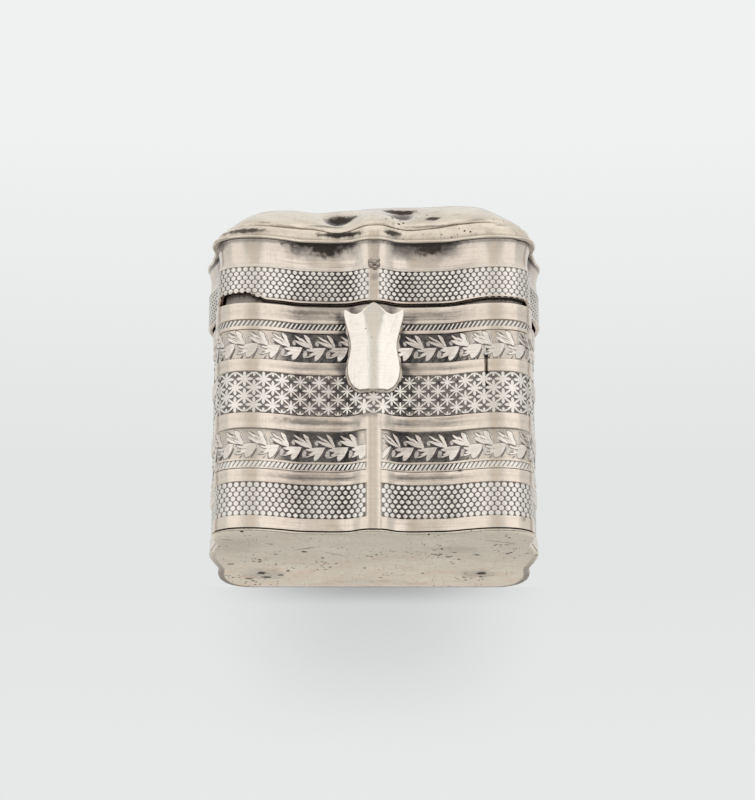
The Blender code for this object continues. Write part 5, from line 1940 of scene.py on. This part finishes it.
# %% The room
BACKGROUND = (0.871, 0.888, 0.880, 1)
WORLD_LIGHT = 0.62
GLOSS_LIGHT = (0.52, 0.90)
GLOSS_FROM_TO = (-0.6, 0.2)
GLOSS_BEHIND = 0.38
BEHIND_FROM_TO = (-0.1, 0.4)
BELOW_FROM_TO = (0.1, -0.15)
GLOSS_OVER = 0.15
OVER_FROM_TO = (0.35, 0.7)
CAMERA_LIGHT = (0.88, 1.0)
CAMERA_FROM_TO = (0.28, 0.38)
CAMERA_FOOT = 0.04
CAMERA_FOOT_FROM_TO = (0.24, 0.19)

world = bpy.data.worlds.new("studio")
scene.world = world
world.use_nodes = True
tree = world.node_tree
background = tree.nodes["Background"]
rays = add(tree, "ShaderNodeLightPath").outputs
heading = add(tree, "ShaderNodeTexCoord").outputs["Generated"]
heading = add(tree, "ShaderNodeSeparateXYZ", {0: heading}).outputs
gloss = ranged(tree, heading[2], GLOSS_FROM_TO, *GLOSS_LIGHT)
behind = ranged(tree, heading[1], BEHIND_FROM_TO, 0.0, GLOSS_BEHIND)
below = ranged(tree, heading[2], BELOW_FROM_TO)
gloss = calc(tree, "ADD", gloss, calc(tree, "MULTIPLY", behind, below))
over = ranged(tree, heading[2], OVER_FROM_TO, 0.0, GLOSS_OVER)
level = calc(tree, "SUBTRACT", calc(tree, "ADD", gloss, over), WORLD_LIGHT)
level = calc(tree, "MULTIPLY_ADD", level, rays["Is Glossy Ray"], WORLD_LIGHT)
seen = ranged(tree, heading[2], CAMERA_FROM_TO, *CAMERA_LIGHT)
foot = ranged(tree, heading[2], CAMERA_FOOT_FROM_TO, 0.0, CAMERA_FOOT)
seen = calc(tree, "ADD", seen, foot)
level = calc(tree, "MAXIMUM", level, calc(tree, "MULTIPLY", seen, rays["Is Camera Ray"]))
tree.links.new(level, background.inputs["Strength"])
background.inputs["Color"].default_value = BACKGROUND
print("nodes in the room:", len(tree.nodes))

# %% [markdown]
# The real box lay on its back, so the tabletop of the picture stands behind this box. The room's pale wall
# stands in for it, and a thin dark patch, seen only from the front, is painted shadow under the box's foot;
# the lamps' real shadow falls on it too. The floor is seen only from above.

# %% The floor and the table
FLOOR_HALF = 0.44
FLOOR_FADE = 0.55
FLOOR_GAP = 0.02 * MM
FLOOR_COLOUR = (0.83, 0.84, 0.835, 1)
TABLE_Y = 12.9 * MM
TABLE_HALF = 19 * MM
TABLE_HEIGHTS = (-19 * MM, 0.5 * MM)
TABLE_SHADOW_COLOUR = (0.16, 0.162, 0.16, 1)
TABLE_FADE = 0.9
CONTACT = 2.2 * MM
CONTACT_FADE = 0.95
SHADOW_SHARES = (0.18, 0.31)
ASLANT_FROM_TO = (0.9, 0.6)
GRAIN = (900.0, 0.06)
GRAIN_COLOUR = (0.6, 0.6, 0.58, 1)


def table_material(name, colour):
    """Plain paint with a faint grain, seen by the camera alone: pale on the floor, dark for painted shadow on
    the table.
    """
    material = bpy.data.materials.new(name)
    material.use_nodes = True
    tree = material.node_tree
    place = add(tree, "ShaderNodeTexCoord").outputs["Object"]
    size, strength = GRAIN
    grain = add(tree, "ShaderNodeTexNoise", {"Vector": place, "Scale": size, "Detail": 3.0}).outputs[0]
    faint = calc(tree, "MULTIPLY", grain, strength)
    shader = tree.nodes["Principled BSDF"]
    tree.links.new(blend(tree, faint, colour, GRAIN_COLOUR), shader.inputs["Base Color"])
    shader.inputs["Roughness"].default_value = 0.9
    shader.inputs["Specular IOR Level"].default_value = 0.1
    camera_ray = add(tree, "ShaderNodeLightPath").outputs["Is Camera Ray"]
    return material, tree, shader.outputs[0], camera_ray


floor_paint, tree, paint, camera_ray = table_material("floor paint", FLOOR_COLOUR)
facing_up = calc(tree, "SUBTRACT", 1.0, add(tree, "ShaderNodeNewGeometry").outputs["Backfacing"])
share = calc(tree, "MULTIPLY", facing_up, soft_edge(tree, FLOOR_HALF, FLOOR_HALF, soft=FLOOR_FADE))
see_through("floor mix", calc(tree, "MULTIPLY", share, camera_ray), tree, paint)
plain_sheet("floor", [(x * FLOOR_HALF, y * FLOOR_HALF, -FLOOR_GAP) for x, y in CORNERS], floor_paint)

# Painted shadow: a dark patch mixed over the wall behind the box's foot, strongest where the box touches
table_shadow_paint, tree, paint, camera_ray = table_material("painted table shadow", TABLE_SHADOW_COLOUR)
low, high = TABLE_HEIGHTS
edge = soft_edge(tree, TABLE_HALF, -low, (0, 0, high), TABLE_FADE, (0, 2))
near = soft_edge(tree, TABLE_HALF, CONTACT, (0, 0, high), CONTACT_FADE, (0, 2))
wide, contact_shadow = SHADOW_SHARES
share = calc(tree, "MULTIPLY_ADD", near, contact_shadow, calc(tree, "MULTIPLY", edge, wide))
before = calc(tree, "SUBTRACT", 1.0, add(tree, "ShaderNodeNewGeometry").outputs["Backfacing"])
aslant = add(tree, "ShaderNodeLayerWeight").outputs["Facing"]
straight = ranged(tree, aslant, ASLANT_FROM_TO)
share = calc(tree, "MULTIPLY", share, calc(tree, "MULTIPLY", before, straight))
see_through("table mix", calc(tree, "MULTIPLY", share, camera_ray), tree, paint)
corners = [(x * TABLE_HALF, TABLE_Y, z) for x, z in ((-1, low), (1, low), (1, high), (-1, high))]
plain_sheet("table", corners, table_shadow_paint)
print("the table patch is", round((high - low) / MM, 1), "mm high")

# %% [markdown]
# A key lamp stands high in front at the left, and two weak ones at the sides. They light the floor and the
# table. Reflections don't see them, because a small bright lamp would leave a hard glint on every bump.

# %% The lamps
LAMP_SIZE = 0.3
LAMPS = {
    "key lamp": ((-0.08, -0.48, 0.36), 2.0),
    "left lamp": ((-0.45, -0.2, 0.1), 0.2),
    "right lamp": ((0.45, -0.2, 0.1), 0.2),
}


def lamp(name, place, power):
    """A soft square lamp that faces the box and is not seen in it."""
    data = bpy.data.lights.new(name, "AREA")
    data.shape = "SQUARE"
    data.size = LAMP_SIZE
    data.energy = power
    obj = bpy.data.objects.new(name, data)
    obj.location = place
    obj.rotation_euler = (Vector((0, 0, AIM_HEIGHT)) - obj.location).to_track_quat("-Z", "Y").to_euler()
    obj.visible_glossy = False
    scene.collection.objects.link(obj)


for name, (place, power) in LAMPS.items():
    lamp(name, place, power)
print("lamps:", len(LAMPS))

# %% [markdown]
# The single motifs and the paths have done their work, so they are removed. The sizes of the solids and of
# this model are gathered, and the visual box is printed.

# %% Finish
scene.view_settings.view_transform = "Standard"
for helper in (body_path, lid_path, scale, spray, star, *tips, lid_scale):
    bpy.data.objects.remove(helper)
for helper in [obj for obj in scene.objects if obj.name.endswith(" bar")]:
    bpy.data.objects.remove(helper)
new_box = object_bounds()
sizes = {"cad": [list(corner) for corner in cad_box], "visual": [list(corner) for corner in new_box]}
print("visual box in millimetres:", [[round(v / MM, 2) for v in corner] for corner in new_box])
